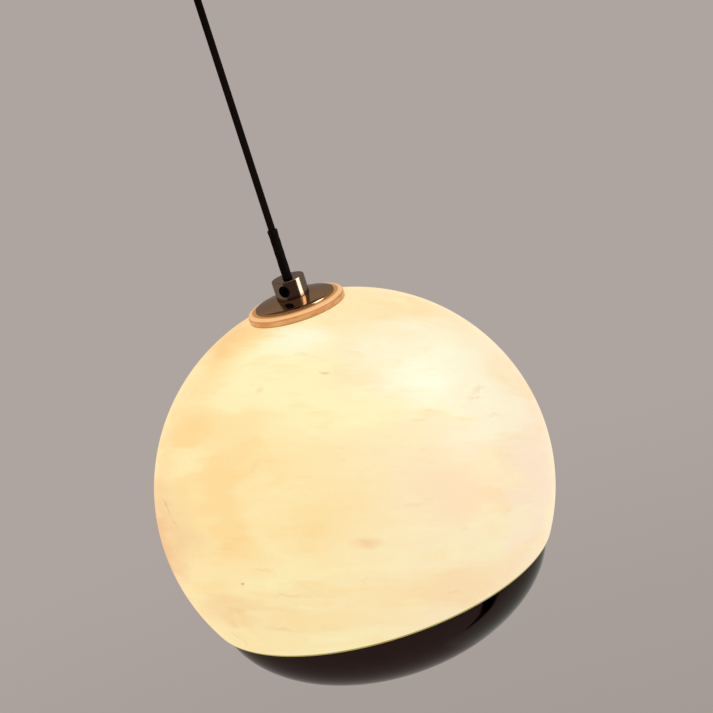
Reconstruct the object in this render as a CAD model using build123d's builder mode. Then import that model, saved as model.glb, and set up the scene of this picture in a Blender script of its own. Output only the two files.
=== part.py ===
"""Globe pendant light: an alabaster shell closed by a metal bowl, hung on a cord from a ceiling canopy.

Millimetres, +Z up. The origin is on the ceiling, on the lamp's axis, so everything hangs below z = 0.
"""

import os
from math import asin, cos, degrees, radians, sin, sqrt

from build123d import *

# Globe: a turned alabaster shell, a little flatter than a ball, ground flat on top and cut open below
globe_radius = 150.0
globe_half_height = 149.0
globe_wall = 9.0
globe_centre_drop = 427.0
mouth_drop = 69.8
stone_top_wall = 8.0
stone_hole_radius = 16.0
stone_edge_round = 1.0

# Top ring, plate and collar
ring_radius = 36.2
ring_thickness = 6.2
ring_top_round = 2.8
ring_spigot_depth = 5.0
plate_radius = 29.8
plate_thickness = 1.8
plate_rise = 2.8
plate_dome_radius = 130.0
plate_seat_margin = 0.4
collar_radius = 12.2
collar_height = 14.0
collar_roof = 2.8
collar_top_round = 0.8
collar_edge = 0.5
grub_radius = 4.0
grub_length = 4.6
grub_turn = 27.5
grub_socket_flats = 4.0
grub_socket_depth = 2.6

# Cord with its sleeve and the stop that carries the weight
cord_radius = 2.6
sleeve_wall = 1.0
sleeve_lip = 0.15
sleeve_lip_length = 2.2
sleeve_length = 39.7
stop_length = 5.4
stop_gap = 0.9

# Tie tube and the clamp that holds the stone
tube_radius = 5.0
tube_wall = 1.4
inner_gasket_margin = 2.7
inner_gasket_thickness = 1.5
clamp_washer_step = 1.0
clamp_washer_thickness = 2.0
nut_flats = 17.0
nut_thickness = 4.0

# Hub, lampholders and capsule lamps
holder_count = 3
holder_first_turn = 90.0
holder_lift = 40.0
hub_drop = 20.0
hub_flat_distance = 20.0
hub_flat_depth = 2.5
hub_hole_depth = 10.0
hub_top_rise = 23.0
hub_rim_rise = 3.0
hub_base_drop = 4.0
hub_cavity_radius = 14.0
hub_cavity_rise = 11.0
hub_cover_thickness = 2.0
nipple_radius = 4.0
nipple_wall = 1.4
nipple_length = 13.0
nipple_into_holder = 6.0
holder_radius = 10.0
holder_length = 22.0
holder_nose_radius = 8.8
holder_nose_length = 7.0
holder_cavity_radius = 6.8
holder_cavity_gap = 0.6
holder_cavity_length = 4.4
contact_wall = 0.5
contact_recess = 4.0
pin_spacing = 9.0
pin_radius = 0.55
pin_length = 8.0
lamp_base_radius = 7.6
lamp_base_length = 12.0
lamp_glass_radius = 8.0
lamp_glass_wall = 1.0
lamp_glass_length = 36.0
lamp_stick_width = 7.0
lamp_stick_thickness = 1.4
lamp_stick_length = 28.0
lead_radius = 0.6
lead_bend_radius = 2.0
crimp_radius = 1.8
crimp_length = 7.0
tube_lead_circle_radius = 1.7

# Bowl: a spun metal shell with a ring that finds the stone's mouth, and the nut under it
bowl_inset = 4.14
bowl_depth_radius = 74.8
bowl_centre_rise = 5.3
bowl_wall = 1.5
bowl_flat_radius = 14.8
mouth_gasket_thickness = 1.0
mouth_gasket_lip = 0.4
mouth_gasket_leg = 4.0
mouth_gasket_leg_wall = 1.5
locating_ring_gap = 1.5
locating_ring_wall = 1.2
locating_ring_rise = 8.0
locating_ring_drop = 9.2
nut_washer_margin = 1.0
nut_washer_thickness = 1.2
bottom_nut_radius = 14.0
bottom_nut_height = 7.6
bottom_nut_floor = 1.6
bottom_nut_round = 2.5
grip_flute_count = 24
grip_flute_radius = 0.9
tube_end_gap = 0.6

# Canopy at the ceiling
canopy_radius = 55.0
canopy_height = 25.0
canopy_wall = 1.5
canopy_round = 5.0
strap_width = 24.0
strap_thickness = 2.0
ear_gap = 0.7
ear_width = 16.0
ear_height = 15.0
ceiling_slot_spacing = 70.0
ceiling_slot_length = 14.0
ceiling_slot_radius = 2.3
supply_hole_radius = 6.0
side_screw_drop = 9.0
side_screw_radius = 2.0
side_screw_inset = 8.0
side_screw_head_radius = 4.0
side_screw_head_height = 2.6
side_screw_head_taper = 20.0
earth_screw_place = 20.0
earth_screw_radius = 2.0
earth_screw_head_radius = 3.6
earth_screw_head_height = 2.4
earth_screw_head_taper = 15.0
block_offset = 21.0
block_depth = 12.0
block_inset = 1.0
block_height = 12.0
block_corner = 1.5
block_way_pitch = 8.0
block_way_drop = 6.0
block_way_radius = 1.8
block_screw_radius = 1.7
block_screw_recess = 0.8
block_screw_offset = 3.0
block_fixing_radius = 1.25
block_fixing_offset = 4.0
block_fixing_head_radius = 2.2
block_fixing_head_height = 1.5

# Cord grip with a ball swivel in it
pivot_below_canopy = 9.0
grip_length = 18.0
grip_wall = 3.0
grip_lip = 2.2
grip_mouth_angle = 55.0
grip_edge = 1.0
stem_over_seat = 0.85
stem_wall = 2.0
stem_into_grip = 4.0
stem_into_canopy = 9.5
locknut_flats = 26.0
locknut_thickness = 4.0
ball_radius = 6.0
seat_cup_wall = 2.85
seat_cup_mouth_angle = 53.0
seat_cup_top_rise = 0.8
tail_lead_circle_radius = 1.4
lead_run_rise = 5.0
lead_turn_gap = 6.0
lead_into_block = 3.0

# Clearances
thread_clearance = 0.05
screw_clearance = 0.1
swivel_clearance = 0.15
turning_clearance = 0.3

os.makedirs("parts", exist_ok=True)


def save(piece, name):
    """Label a finished piece and write it as a file of its own."""
    piece.part.label = name
    export_step(piece.part, f"parts/{name}.step")


def ellipse_height(radius, across, up):
    """Height above the centre of an ellipse's arc at a radius from the axis."""
    return up * sqrt(1 - (radius / across) ** 2)


def ellipse_radius(height, across, up):
    """Radius from the axis of an ellipse's arc at a height from its centre."""
    return across * sqrt(1 - (height / up) ** 2)


def ellipse_arc(centre_height, across, up, start_height, end_height):
    """The arc of an ellipse about the axis, right of it, from one height to another."""
    start = degrees(asin((start_height - centre_height) / up))
    end = degrees(asin((end_height - centre_height) / up))
    return EllipticalCenterArc((0, centre_height), across, up, start, arc_size=end - start)


def washer(name, radius, bore, low, high, edge=0.0):
    """A round washer about the lamp's axis, with its outer edges broken if an edge is given."""
    with BuildPart() as piece:
        with BuildSketch(Plane.XY.offset(low)):
            Circle(radius)
            Circle(bore, mode=Mode.SUBTRACT)
        extrude(amount=high - low)
        if edge:
            chamfer(piece.edges().filter_by(GeomType.CIRCLE).group_by(SortBy.RADIUS)[-1], edge)
    save(piece, name)


def hex_nut(name, flats, bore, bottoms, thickness):
    """One or more six-sided nuts about the lamp's axis, standing on the given heights."""
    with BuildPart() as piece:
        for bottom in bottoms:
            with BuildSketch(Plane.XY.offset(bottom)):
                RegularPolygon(flats / 2, 6, major_radius=False)
                Circle(bore, mode=Mode.SUBTRACT)
            extrude(amount=thickness)
    save(piece, name)


def wires(name, routes, radius):
    """Insulated wires, each along straight runs with rounded corners."""
    with BuildPart() as piece:
        for points, bend in routes:
            with BuildLine() as run:
                if len(points) > 2:
                    FilletPolyline(*points, radius=bend)
                else:
                    Line(*points)
            with BuildSketch(Plane(origin=run.line @ 0, z_dir=run.line % 0)):
                Circle(radius)
            sweep(path=run.line)
    save(piece, name)


# Heights on the lamp, worked out from the globe's centre
globe_z = -globe_centre_drop
mouth_z = globe_z - mouth_drop
seat_z = globe_z + ellipse_height(ring_radius, globe_radius, globe_half_height)
inner_seat_z = seat_z - stone_top_wall
plate_bottom_z = seat_z + ring_thickness
plate_rim_z = plate_bottom_z + plate_thickness
collar_bottom_z = plate_rim_z + plate_rise
collar_top_z = collar_bottom_z + collar_height
stop_top_z = collar_top_z - collar_roof
cord_end_z = stop_top_z - stop_length
tube_top_z = cord_end_z - stop_gap
tube_hole_radius = tube_radius + thread_clearance
sleeve_radius = cord_radius + sleeve_wall

# The stone shell
stone_inner_radius = globe_radius - globe_wall
stone_inner_half_height = globe_half_height - globe_wall
inner_seat_radius = ellipse_radius(inner_seat_z - globe_z, stone_inner_radius, stone_inner_half_height)
mouth_outer_radius = ellipse_radius(mouth_drop, globe_radius, globe_half_height)
mouth_inner_radius = ellipse_radius(mouth_drop, stone_inner_radius, stone_inner_half_height)
with BuildPart() as alabaster_globe:
    with BuildSketch(Plane.XZ):
        with BuildLine():
            outside = ellipse_arc(globe_z, globe_radius, globe_half_height, mouth_z, seat_z)
            inside = ellipse_arc(
                globe_z, stone_inner_radius, stone_inner_half_height, mouth_z, inner_seat_z
            )
            Polyline(outside @ 1, (stone_hole_radius, seat_z), (stone_hole_radius, inner_seat_z), inside @ 1)
            Line(inside @ 0, outside @ 0)
        make_face()
    revolve(axis=Axis.Z)
    mouth_edges = alabaster_globe.edges().filter_by(GeomType.CIRCLE).group_by(Axis.Z)[0]
    fillet(mouth_edges, stone_edge_round)
save(alabaster_globe, "alabaster_globe")

# The translucent ring between stone and plate, with a spigot that centres the stone's hole
with BuildPart() as top_gasket:
    with BuildSketch(Plane.XY.offset(seat_z)):
        Circle(ring_radius)
    extrude(amount=ring_thickness)
    fillet(top_gasket.edges().filter_by(GeomType.CIRCLE).group_by(Axis.Z)[-1], ring_top_round)
    with BuildSketch(Plane.XY.offset(seat_z)):
        Circle(stone_hole_radius - turning_clearance)
    extrude(amount=-ring_spigot_depth)
    with BuildSketch(Plane.XY.offset(seat_z - ring_spigot_depth)):
        Circle(tube_hole_radius)
    extrude(amount=ring_spigot_depth + ring_thickness, mode=Mode.SUBTRACT)
save(top_gasket, "top_gasket")

# The polished plate, domed from its rim up to a flat seat for the collar
plate_seat_radius = collar_radius + plate_seat_margin
plate_edge = collar_edge / 2
with BuildPart() as top_plate:
    with BuildSketch(Plane.XZ):
        with BuildLine():
            dome = RadiusArc(
                (plate_seat_radius, collar_bottom_z), (plate_radius - plate_edge, plate_rim_z), plate_dome_radius
            )
            Polyline(
                dome @ 1,
                (plate_radius, plate_rim_z - plate_edge),
                (plate_radius, plate_bottom_z),
                (tube_hole_radius, plate_bottom_z),
                (tube_hole_radius, collar_bottom_z),
                dome @ 0,
            )
        make_face()
    revolve(axis=Axis.Z)
save(top_plate, "top_plate")

# The collar: tube thread and cord stop below, a narrow hole for the sleeved cord in its roof
grub_direction = (-sin(radians(grub_turn)), -cos(radians(grub_turn)), 0)
grub_z = collar_bottom_z + collar_height / 2
grub_axis = Plane(origin=(0, 0, grub_z), z_dir=grub_direction)
grub_tip = tube_radius + screw_clearance
with BuildPart() as cord_collar:
    with BuildSketch(Plane.XY.offset(collar_bottom_z)):
        Circle(collar_radius)
    extrude(amount=collar_height)
    fillet(cord_collar.edges().group_by(Axis.Z)[-1], collar_top_round)
    chamfer(cord_collar.edges().group_by(Axis.Z)[0], collar_edge / 2)
    with BuildSketch(Plane.XY.offset(collar_bottom_z)):
        Circle(tube_hole_radius)
    extrude(amount=collar_height - collar_roof, mode=Mode.SUBTRACT)
    with BuildSketch(Plane.XY.offset(stop_top_z)):
        Circle(sleeve_radius + turning_clearance)
    extrude(amount=collar_roof, mode=Mode.SUBTRACT)
    chamfer(cord_collar.edges().group_by(Axis.Z)[-1].sort_by(SortBy.RADIUS)[0], collar_edge)
    with BuildSketch(grub_axis):
        Circle(grub_radius)
    extrude(amount=collar_radius, mode=Mode.SUBTRACT)
save(cord_collar, "cord_collar")

with BuildPart() as collar_grub_screw:
    with BuildSketch(grub_axis.offset(grub_tip)):
        Circle(grub_radius - thread_clearance)
    extrude(amount=grub_length)
    chamfer(collar_grub_screw.edges().filter_by(GeomType.CIRCLE), collar_edge)
    with BuildSketch(grub_axis.offset(grub_tip + grub_length)):
        RegularPolygon(grub_socket_flats / 2, 6, major_radius=False)
    extrude(amount=-grub_socket_depth, mode=Mode.SUBTRACT)
save(collar_grub_screw, "collar_grub_screw")

# Clamp under the stone's top
inner_gasket_radius = inner_seat_radius - inner_gasket_margin
clamp_washer_radius = inner_gasket_radius - clamp_washer_step
gasket_low_z = inner_seat_z - inner_gasket_thickness
clamp_low_z = gasket_low_z - clamp_washer_thickness
washer("inner_gasket", inner_gasket_radius, tube_hole_radius, gasket_low_z, inner_seat_z)
washer("clamp_washer", clamp_washer_radius, tube_hole_radius, clamp_low_z, gasket_low_z, edge=collar_edge)
hex_nut("clamp_nut", nut_flats, tube_hole_radius, [clamp_low_z - nut_thickness], nut_thickness)

# The hub: a turned cone with one flat for each lampholder
hub_z = globe_z - hub_drop
hub_base_z = hub_z - hub_base_drop
hub_top_z = hub_z + hub_top_rise
hub_rim_z = hub_z + hub_rim_rise
hub_cone_distance = hub_flat_distance + hub_flat_depth
lift = radians(holder_lift)


def hub_cone_radius(height):
    """Radius of the hub's cone at a height above the hub's centre."""
    return (hub_cone_distance - height * sin(lift)) / cos(lift)


def holder_axis(turn):
    """Plane at the hub's centre that faces out along a lampholder, with its X axis level."""
    around = radians(turn)
    outward = (cos(around) * cos(lift), sin(around) * cos(lift), sin(lift))
    return Plane(origin=(0, 0, hub_z), x_dir=(-sin(around), cos(around), 0), z_dir=outward)


holder_turns = [holder_first_turn + n * 360 / holder_count for n in range(holder_count)]
holder_axes = [holder_axis(turn) for turn in holder_turns]
wire_window_turns = [turn + 180 / holder_count for turn in holder_turns]
wire_level_z = hub_base_z + crimp_length - lead_bend_radius
crimp_circle_radius = (tube_radius + hub_cavity_radius) / 2

with BuildPart() as lampholder_hub:
    with BuildSketch(Plane.XZ):
        with BuildLine():
            Polyline(
                (tube_hole_radius, hub_top_z),
                (hub_cone_radius(hub_top_rise), hub_top_z),
                (hub_cone_radius(hub_rim_rise), hub_rim_z),
                (hub_cone_radius(hub_rim_rise), hub_base_z),
                (hub_cavity_radius, hub_base_z),
                (hub_cavity_radius, hub_base_z + hub_cavity_rise),
                (tube_hole_radius, hub_base_z + hub_cavity_rise),
                close=True,
            )
        make_face()
    revolve(axis=Axis.Z)
    for axis in holder_axes:
        with BuildSketch(axis.offset(hub_flat_distance)):
            Circle(hub_cone_distance)
        extrude(amount=holder_radius, mode=Mode.SUBTRACT)
        with BuildSketch(axis.offset(hub_flat_distance)):
            Circle(nipple_radius + thread_clearance)
        extrude(amount=-hub_hole_depth, mode=Mode.SUBTRACT)
save(lampholder_hub, "lampholder_hub")

washer(
    "hub_cover", hub_cone_radius(hub_rim_rise), tube_hole_radius, hub_base_z - hub_cover_thickness,
    hub_base_z, edge=collar_edge,
)
hub_nut_bottoms = [hub_top_z, hub_base_z - hub_cover_thickness - nut_thickness]
hex_nut("hub_nuts", nut_flats, tube_hole_radius, hub_nut_bottoms, nut_thickness)

# Threaded nipples that carry the lampholders on the hub
nipple_end = hub_flat_distance + nipple_into_holder
with BuildPart() as holder_nipples:
    for axis in holder_axes:
        with BuildSketch(axis.offset(nipple_end)):
            Circle(nipple_radius)
            Circle(nipple_radius - nipple_wall, mode=Mode.SUBTRACT)
        extrude(amount=-nipple_length)
save(holder_nipples, "holder_nipples")

# Lampholders, with a contact tube behind each pin hole, and the capsule lamps in them
holder_front = hub_flat_distance + holder_length
holder_nose_start = holder_front - holder_nose_length
cavity_start = nipple_end + holder_cavity_gap
contact_start = cavity_start + holder_cavity_length
contact_end = holder_front - contact_recess
contact_bore_radius = pin_radius + turning_clearance
contact_radius = contact_bore_radius + contact_wall
pin_places = [(0, -pin_spacing / 2), (0, pin_spacing / 2)]

with BuildPart() as holder_contacts:
    for axis in holder_axes:
        with BuildSketch(axis.offset(contact_start)):
            with Locations(*pin_places):
                Circle(contact_radius)
                Circle(contact_bore_radius, mode=Mode.SUBTRACT)
        extrude(amount=contact_end - contact_start)
save(holder_contacts, "holder_contacts")

for number, axis in enumerate(holder_axes, 1):
    with BuildPart() as lampholder:
        with BuildSketch(axis.offset(hub_flat_distance)):
            Circle(holder_radius)
        extrude(amount=holder_length - holder_nose_length)
        with BuildSketch(axis.offset(holder_nose_start)):
            Circle(holder_nose_radius)
        extrude(amount=holder_nose_length)
        chamfer(lampholder.edges().filter_by(GeomType.CIRCLE), collar_edge)
        with BuildSketch(axis.offset(hub_flat_distance)):
            Circle(nipple_radius + thread_clearance)
        extrude(amount=cavity_start - hub_flat_distance, mode=Mode.SUBTRACT)
        with BuildSketch(axis.offset(cavity_start)):
            Circle(holder_cavity_radius)
        extrude(amount=holder_cavity_length, mode=Mode.SUBTRACT)
        with BuildSketch(axis.offset(contact_start)):
            with Locations(*pin_places):
                Circle(contact_radius + thread_clearance)
        extrude(amount=holder_front - contact_start, mode=Mode.SUBTRACT)
    save(lampholder, f"lampholder_{number}")

    with BuildPart() as pins:
        with BuildSketch(axis.offset(holder_front)):
            with Locations(*pin_places):
                Circle(pin_radius)
        extrude(amount=-pin_length)
        fillet(pins.faces().sort_by(Axis(axis.origin, axis.z_dir))[:2].edges(), pin_radius / 2)
    save(pins, f"lamp_{number}_pins")

    base_end = holder_front + lamp_base_length
    with BuildPart() as base:
        with BuildSketch(axis.offset(holder_front)):
            Circle(lamp_base_radius)
        extrude(amount=lamp_base_length)
        chamfer(base.edges().filter_by(GeomType.CIRCLE), collar_edge)
    save(base, f"lamp_{number}_base")

    with BuildPart() as stick:
        with BuildSketch(axis.offset(base_end)):
            Rectangle(lamp_stick_width, lamp_stick_thickness)
        extrude(amount=lamp_stick_length)
    save(stick, f"lamp_{number}_led_stick")

    glass_end = lamp_glass_length - lamp_glass_radius
    side = Plane(origin=axis.origin, x_dir=axis.x_dir, z_dir=axis.x_dir.cross(axis.z_dir))
    with BuildPart() as glass:
        with BuildSketch(side):
            with BuildLine():
                Line((lamp_glass_radius, base_end), (lamp_glass_radius, base_end + glass_end))
                CenterArc((0, base_end + glass_end), lamp_glass_radius, 0, 90)
                Line(
                    (0, base_end + lamp_glass_length),
                    (0, base_end + lamp_glass_length - lamp_glass_wall),
                )
                CenterArc((0, base_end + glass_end), lamp_glass_radius - lamp_glass_wall, 0, 90)
                Line(
                    (lamp_glass_radius - lamp_glass_wall, base_end + glass_end),
                    (lamp_glass_radius - lamp_glass_wall, base_end),
                )
                Line((lamp_glass_radius - lamp_glass_wall, base_end), (lamp_glass_radius, base_end))
            make_face()
        revolve(axis=Axis(axis.origin, axis.z_dir))
    save(glass, f"lamp_{number}_glass")

# Leads: down the tie tube to the hub, and from the hub's cavity up to each lampholder's contacts
tube_routes = []
for turn in wire_window_turns:
    out_x = cos(radians(turn))
    out_y = sin(radians(turn))
    tube_routes.append(
        (
            [
                (tube_lead_circle_radius * out_x, tube_lead_circle_radius * out_y, tube_top_z),
                (tube_lead_circle_radius * out_x, tube_lead_circle_radius * out_y, wire_level_z),
                (
                    (crimp_circle_radius - crimp_radius) * out_x,
                    (crimp_circle_radius - crimp_radius) * out_y,
                    wire_level_z,
                ),
            ],
            lead_bend_radius,
        )
    )
wires("tube_leads", tube_routes, lead_radius)

holder_routes = []
for axis in holder_axes:
    for place in (-1, 1):
        near = place * (lead_radius + thread_clearance)
        far = place * pin_spacing / 2
        points = [
            (0, near, hub_flat_distance - hub_hole_depth),
            (0, near, cavity_start - lead_radius),
            (0, far, contact_start),
        ]
        holder_routes.append(([axis.from_local_coords(point) for point in points], lead_bend_radius / 2))
wires("holder_leads", holder_routes, lead_radius)

with BuildPart() as crimp_connectors:
    with BuildSketch(Plane.XY.offset(hub_base_z)):
        with Locations(*[
            (crimp_circle_radius * cos(radians(turn)), crimp_circle_radius * sin(radians(turn)))
            for turn in wire_window_turns
        ]):
            Circle(crimp_radius)
    extrude(amount=crimp_length)
save(crimp_connectors, "crimp_connectors")

# The bowl, spun from sheet, with a small flat at its lowest point for the nut
bowl_rim_z = mouth_z - mouth_gasket_thickness
bowl_rim_radius = mouth_outer_radius - bowl_inset
bowl_z = bowl_rim_z + bowl_centre_rise
bowl_radius = bowl_rim_radius / sqrt(1 - (bowl_centre_rise / bowl_depth_radius) ** 2)
bowl_flat_z = bowl_z - ellipse_height(bowl_flat_radius, bowl_radius, bowl_depth_radius)
bowl_floor_z = bowl_flat_z + bowl_wall
bowl_inner_radius = bowl_radius - bowl_wall
bowl_inner_depth_radius = bowl_depth_radius - bowl_wall
bowl_hole_radius = tube_radius + turning_clearance


def bowl_inside_at(height):
    """Radius of the bowl's inner wall at a height."""
    return ellipse_radius(height - bowl_z, bowl_inner_radius, bowl_inner_depth_radius)


with BuildPart() as metal_bowl:
    with BuildSketch(Plane.XZ):
        with BuildLine():
            outside = ellipse_arc(bowl_z, bowl_radius, bowl_depth_radius, bowl_flat_z, bowl_rim_z)
            inside = ellipse_arc(bowl_z, bowl_inner_radius, bowl_inner_depth_radius, bowl_floor_z, bowl_rim_z)
            Line(outside @ 1, inside @ 1)
            Polyline(
                inside @ 0, (bowl_hole_radius, bowl_floor_z), (bowl_hole_radius, bowl_flat_z), outside @ 0
            )
        make_face()
    revolve(axis=Axis.Z)
save(metal_bowl, "metal_bowl")

# Seal between the stone's mouth and the bowl's rim, an angle section that hooks inside the rim
gasket_leg_radius = bowl_inside_at(bowl_rim_z - mouth_gasket_leg)
gasket_outer_radius = bowl_rim_radius + mouth_gasket_lip
gasket_inner_radius = gasket_leg_radius - mouth_gasket_leg_wall
with BuildPart() as mouth_gasket:
    with BuildSketch(Plane.XZ):
        with BuildLine():
            Polyline(
                (gasket_inner_radius, mouth_z),
                (gasket_outer_radius, mouth_z),
                (gasket_outer_radius, bowl_rim_z),
                (gasket_leg_radius, bowl_rim_z),
                (gasket_leg_radius, bowl_rim_z - mouth_gasket_leg),
                (gasket_inner_radius, bowl_rim_z - mouth_gasket_leg),
                close=True,
            )
        make_face()
    revolve(axis=Axis.Z)
save(mouth_gasket, "mouth_gasket")

# Locating ring: stands up inside the stone's mouth and is welded to the bowl's wall by its foot
ring_foot_z = mouth_z - locating_ring_drop
ring_low_z = ring_foot_z - locating_ring_wall
ring_outer_radius = mouth_inner_radius - locating_ring_gap
with BuildPart() as bowl_locating_ring:
    with BuildSketch(Plane.XZ):
        with BuildLine():
            Polyline(
                (ring_outer_radius - locating_ring_wall, mouth_z + locating_ring_rise),
                (ring_outer_radius, mouth_z + locating_ring_rise),
                (ring_outer_radius, ring_foot_z),
                (bowl_inside_at(ring_low_z) - thread_clearance, ring_foot_z),
                (bowl_inside_at(ring_low_z) - thread_clearance, ring_low_z),
                (ring_outer_radius - locating_ring_wall, ring_low_z),
                close=True,
            )
        make_face()
    revolve(axis=Axis.Z)
save(bowl_locating_ring, "bowl_locating_ring")

# Washer and low round nut under the bowl
nut_top_z = bowl_flat_z - nut_washer_thickness
nut_bottom_z = nut_top_z - bottom_nut_height
washer("nut_washer", bottom_nut_radius - nut_washer_margin, bowl_hole_radius, nut_top_z, bowl_flat_z)
with BuildPart() as bottom_nut:
    with BuildSketch(Plane.XY.offset(nut_bottom_z)):
        Circle(bottom_nut_radius)
    extrude(amount=bottom_nut_height)
    fillet(bottom_nut.edges().filter_by(GeomType.CIRCLE).group_by(Axis.Z)[0], bottom_nut_round)
    with BuildSketch(Plane.XY.offset(nut_bottom_z + bottom_nut_round)):
        with PolarLocations(bottom_nut_radius, grip_flute_count):
            Circle(grip_flute_radius)
    extrude(amount=bottom_nut_height, mode=Mode.SUBTRACT)
    with BuildSketch(Plane.XY.offset(nut_bottom_z + bottom_nut_floor)):
        Circle(tube_radius + screw_clearance)
    extrude(amount=bottom_nut_height, mode=Mode.SUBTRACT)
save(bottom_nut, "bottom_nut")

# Tie tube from the collar to the bottom nut, with a window for each lead
tube_bottom_z = nut_bottom_z + bottom_nut_floor + tube_end_gap
with BuildPart() as tie_tube:
    with BuildSketch(Plane.XY.offset(tube_bottom_z)):
        Circle(tube_radius)
        Circle(tube_radius - tube_wall, mode=Mode.SUBTRACT)
    extrude(amount=tube_top_z - tube_bottom_z)
    for turn in wire_window_turns:
        facing = (cos(radians(turn)), sin(radians(turn)), 0)
        with BuildSketch(Plane(origin=(0, 0, wire_level_z), z_dir=facing)):
            Circle(lead_radius + turning_clearance)
        extrude(amount=tube_radius + screw_clearance, mode=Mode.SUBTRACT)
save(tie_tube, "tie_tube")

# Cord, straight and taut, with its crimped stop and its shrink sleeve
canopy_bottom_z = -canopy_height
pivot_z = canopy_bottom_z - pivot_below_canopy
cord_top_z = pivot_z + sqrt(ball_radius**2 - cord_radius**2)
with BuildPart() as suspension_cord:
    with BuildSketch(Plane.XY.offset(cord_end_z)):
        Circle(cord_radius)
    extrude(amount=cord_top_z - cord_end_z)
save(suspension_cord, "suspension_cord")

washer("cord_stop", tube_radius - turning_clearance, cord_radius, cord_end_z, stop_top_z)

sleeve_lip_radius = sleeve_radius + sleeve_lip
sleeve_top_z = stop_top_z + sleeve_length
with BuildPart() as cord_sleeve:
    with BuildSketch(Plane.XZ):
        with BuildLine():
            Polyline(
                (cord_radius, stop_top_z),
                (sleeve_radius, stop_top_z),
                (sleeve_radius, sleeve_top_z - 2 * sleeve_lip_length),
                (sleeve_lip_radius, sleeve_top_z - sleeve_lip_length),
                (sleeve_lip_radius, sleeve_top_z),
                (cord_radius, sleeve_top_z),
                close=True,
            )
        make_face()
    revolve(axis=Axis.Z)
save(cord_sleeve, "cord_sleeve")

# Ball crimped on the cord's top end
with BuildPart() as ball_ferrule:
    with Locations((0, 0, pivot_z)):
        Sphere(ball_radius)
    with BuildSketch(Plane.XY.offset(pivot_z - ball_radius)):
        Circle(cord_radius)
    extrude(amount=2 * ball_radius, mode=Mode.SUBTRACT)
save(ball_ferrule, "ball_ferrule")


def seat_profile(radius, mouth_angle, top_height):
    """Where a ball seat starts at its mouth, and where it ends above its middle."""
    mouth = radians(mouth_angle)
    low = (radius * sin(mouth), pivot_z - radius * cos(mouth))
    high = (sqrt(radius**2 - top_height**2), pivot_z + top_height)
    return low, high


# Seat cup: a loose cup between the ball and the grip, concentric with both
cup_bore_radius = ball_radius + swivel_clearance
seat_cup_radius = cup_bore_radius + seat_cup_wall
cup_outer_low, cup_outer_high = seat_profile(seat_cup_radius, seat_cup_mouth_angle, seat_cup_top_rise)
cup_inner_low, cup_inner_high = seat_profile(cup_bore_radius, seat_cup_mouth_angle, seat_cup_top_rise)
with BuildPart() as seat_cup:
    with BuildSketch(Plane.XZ):
        with BuildLine():
            RadiusArc(cup_outer_low, cup_outer_high, -seat_cup_radius)
            Line(cup_outer_high, cup_inner_high)
            RadiusArc(cup_inner_low, cup_inner_high, -cup_bore_radius)
            Line(cup_inner_low, cup_outer_low)
        make_face()
    revolve(axis=Axis.Z)
save(seat_cup, "seat_cup")

# Grip body: a ball seat inside and a bell mouth that lets the cord swing
canopy_floor_z = canopy_bottom_z + canopy_wall
grip_bottom_z = canopy_bottom_z - grip_length
grip_seat_radius = seat_cup_radius + swivel_clearance
grip_seat_low, grip_seat_high = seat_profile(grip_seat_radius, grip_mouth_angle, 0)
stem_radius = grip_seat_radius + stem_over_seat
stem_bottom_z = canopy_bottom_z - stem_into_grip
grip_thread_radius = stem_radius + thread_clearance
grip_radius = stem_radius + grip_wall
with BuildPart() as grip_body:
    with BuildSketch(Plane.XZ):
        with BuildLine():
            RadiusArc(grip_seat_low, grip_seat_high, -grip_seat_radius)
            Polyline(
                grip_seat_high,
                (grip_seat_radius, stem_bottom_z),
                (grip_thread_radius, stem_bottom_z),
                (grip_thread_radius, canopy_bottom_z),
                (grip_radius, canopy_bottom_z),
                (grip_radius, grip_bottom_z),
                (grip_radius - grip_lip, grip_bottom_z),
                grip_seat_low,
            )
        make_face()
    revolve(axis=Axis.Z)
    outer_edges = grip_body.edges().filter_by(GeomType.CIRCLE).group_by(Axis.Z)[0]
    fillet(outer_edges.group_by(SortBy.RADIUS)[-1], grip_edge)
save(grip_body, "grip_body")

stem_top_z = canopy_floor_z + stem_into_canopy
washer("grip_stem", stem_radius, stem_radius - stem_wall, stem_bottom_z, stem_top_z)
hex_nut("grip_locknut", locknut_flats, grip_thread_radius, [canopy_floor_z], locknut_thickness)

# Canopy cup, with a hole for the stem and two side holes for its screws
side_screw_z = -side_screw_drop
with BuildPart() as canopy_cup:
    with BuildSketch(Plane.XY.offset(canopy_bottom_z)):
        Circle(canopy_radius)
    extrude(amount=canopy_height)
    fillet(canopy_cup.edges().filter_by(GeomType.CIRCLE).group_by(Axis.Z)[0], canopy_round)
    offset(amount=-canopy_wall, openings=canopy_cup.faces().sort_by(Axis.Z)[-1])
    with BuildSketch(Plane.XY.offset(canopy_bottom_z)):
        Circle(stem_radius + screw_clearance)
    extrude(amount=canopy_wall, mode=Mode.SUBTRACT)
    for facing in (1, -1):
        with BuildSketch(Plane(origin=(0, 0, side_screw_z), z_dir=(facing, 0, 0))):
            Circle(side_screw_radius + screw_clearance)
        extrude(amount=canopy_radius, mode=Mode.SUBTRACT)
save(canopy_cup, "canopy_cup")

with BuildPart() as canopy_screws:
    for facing in (1, -1):
        side = Plane(origin=(facing * canopy_radius, 0, side_screw_z), z_dir=(facing, 0, 0))
        with BuildSketch(side):
            Circle(side_screw_radius)
        extrude(amount=-side_screw_inset)
        with BuildSketch(side):
            Circle(side_screw_head_radius)
        extrude(amount=side_screw_head_height, taper=side_screw_head_taper)
save(canopy_screws, "canopy_screws")

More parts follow.
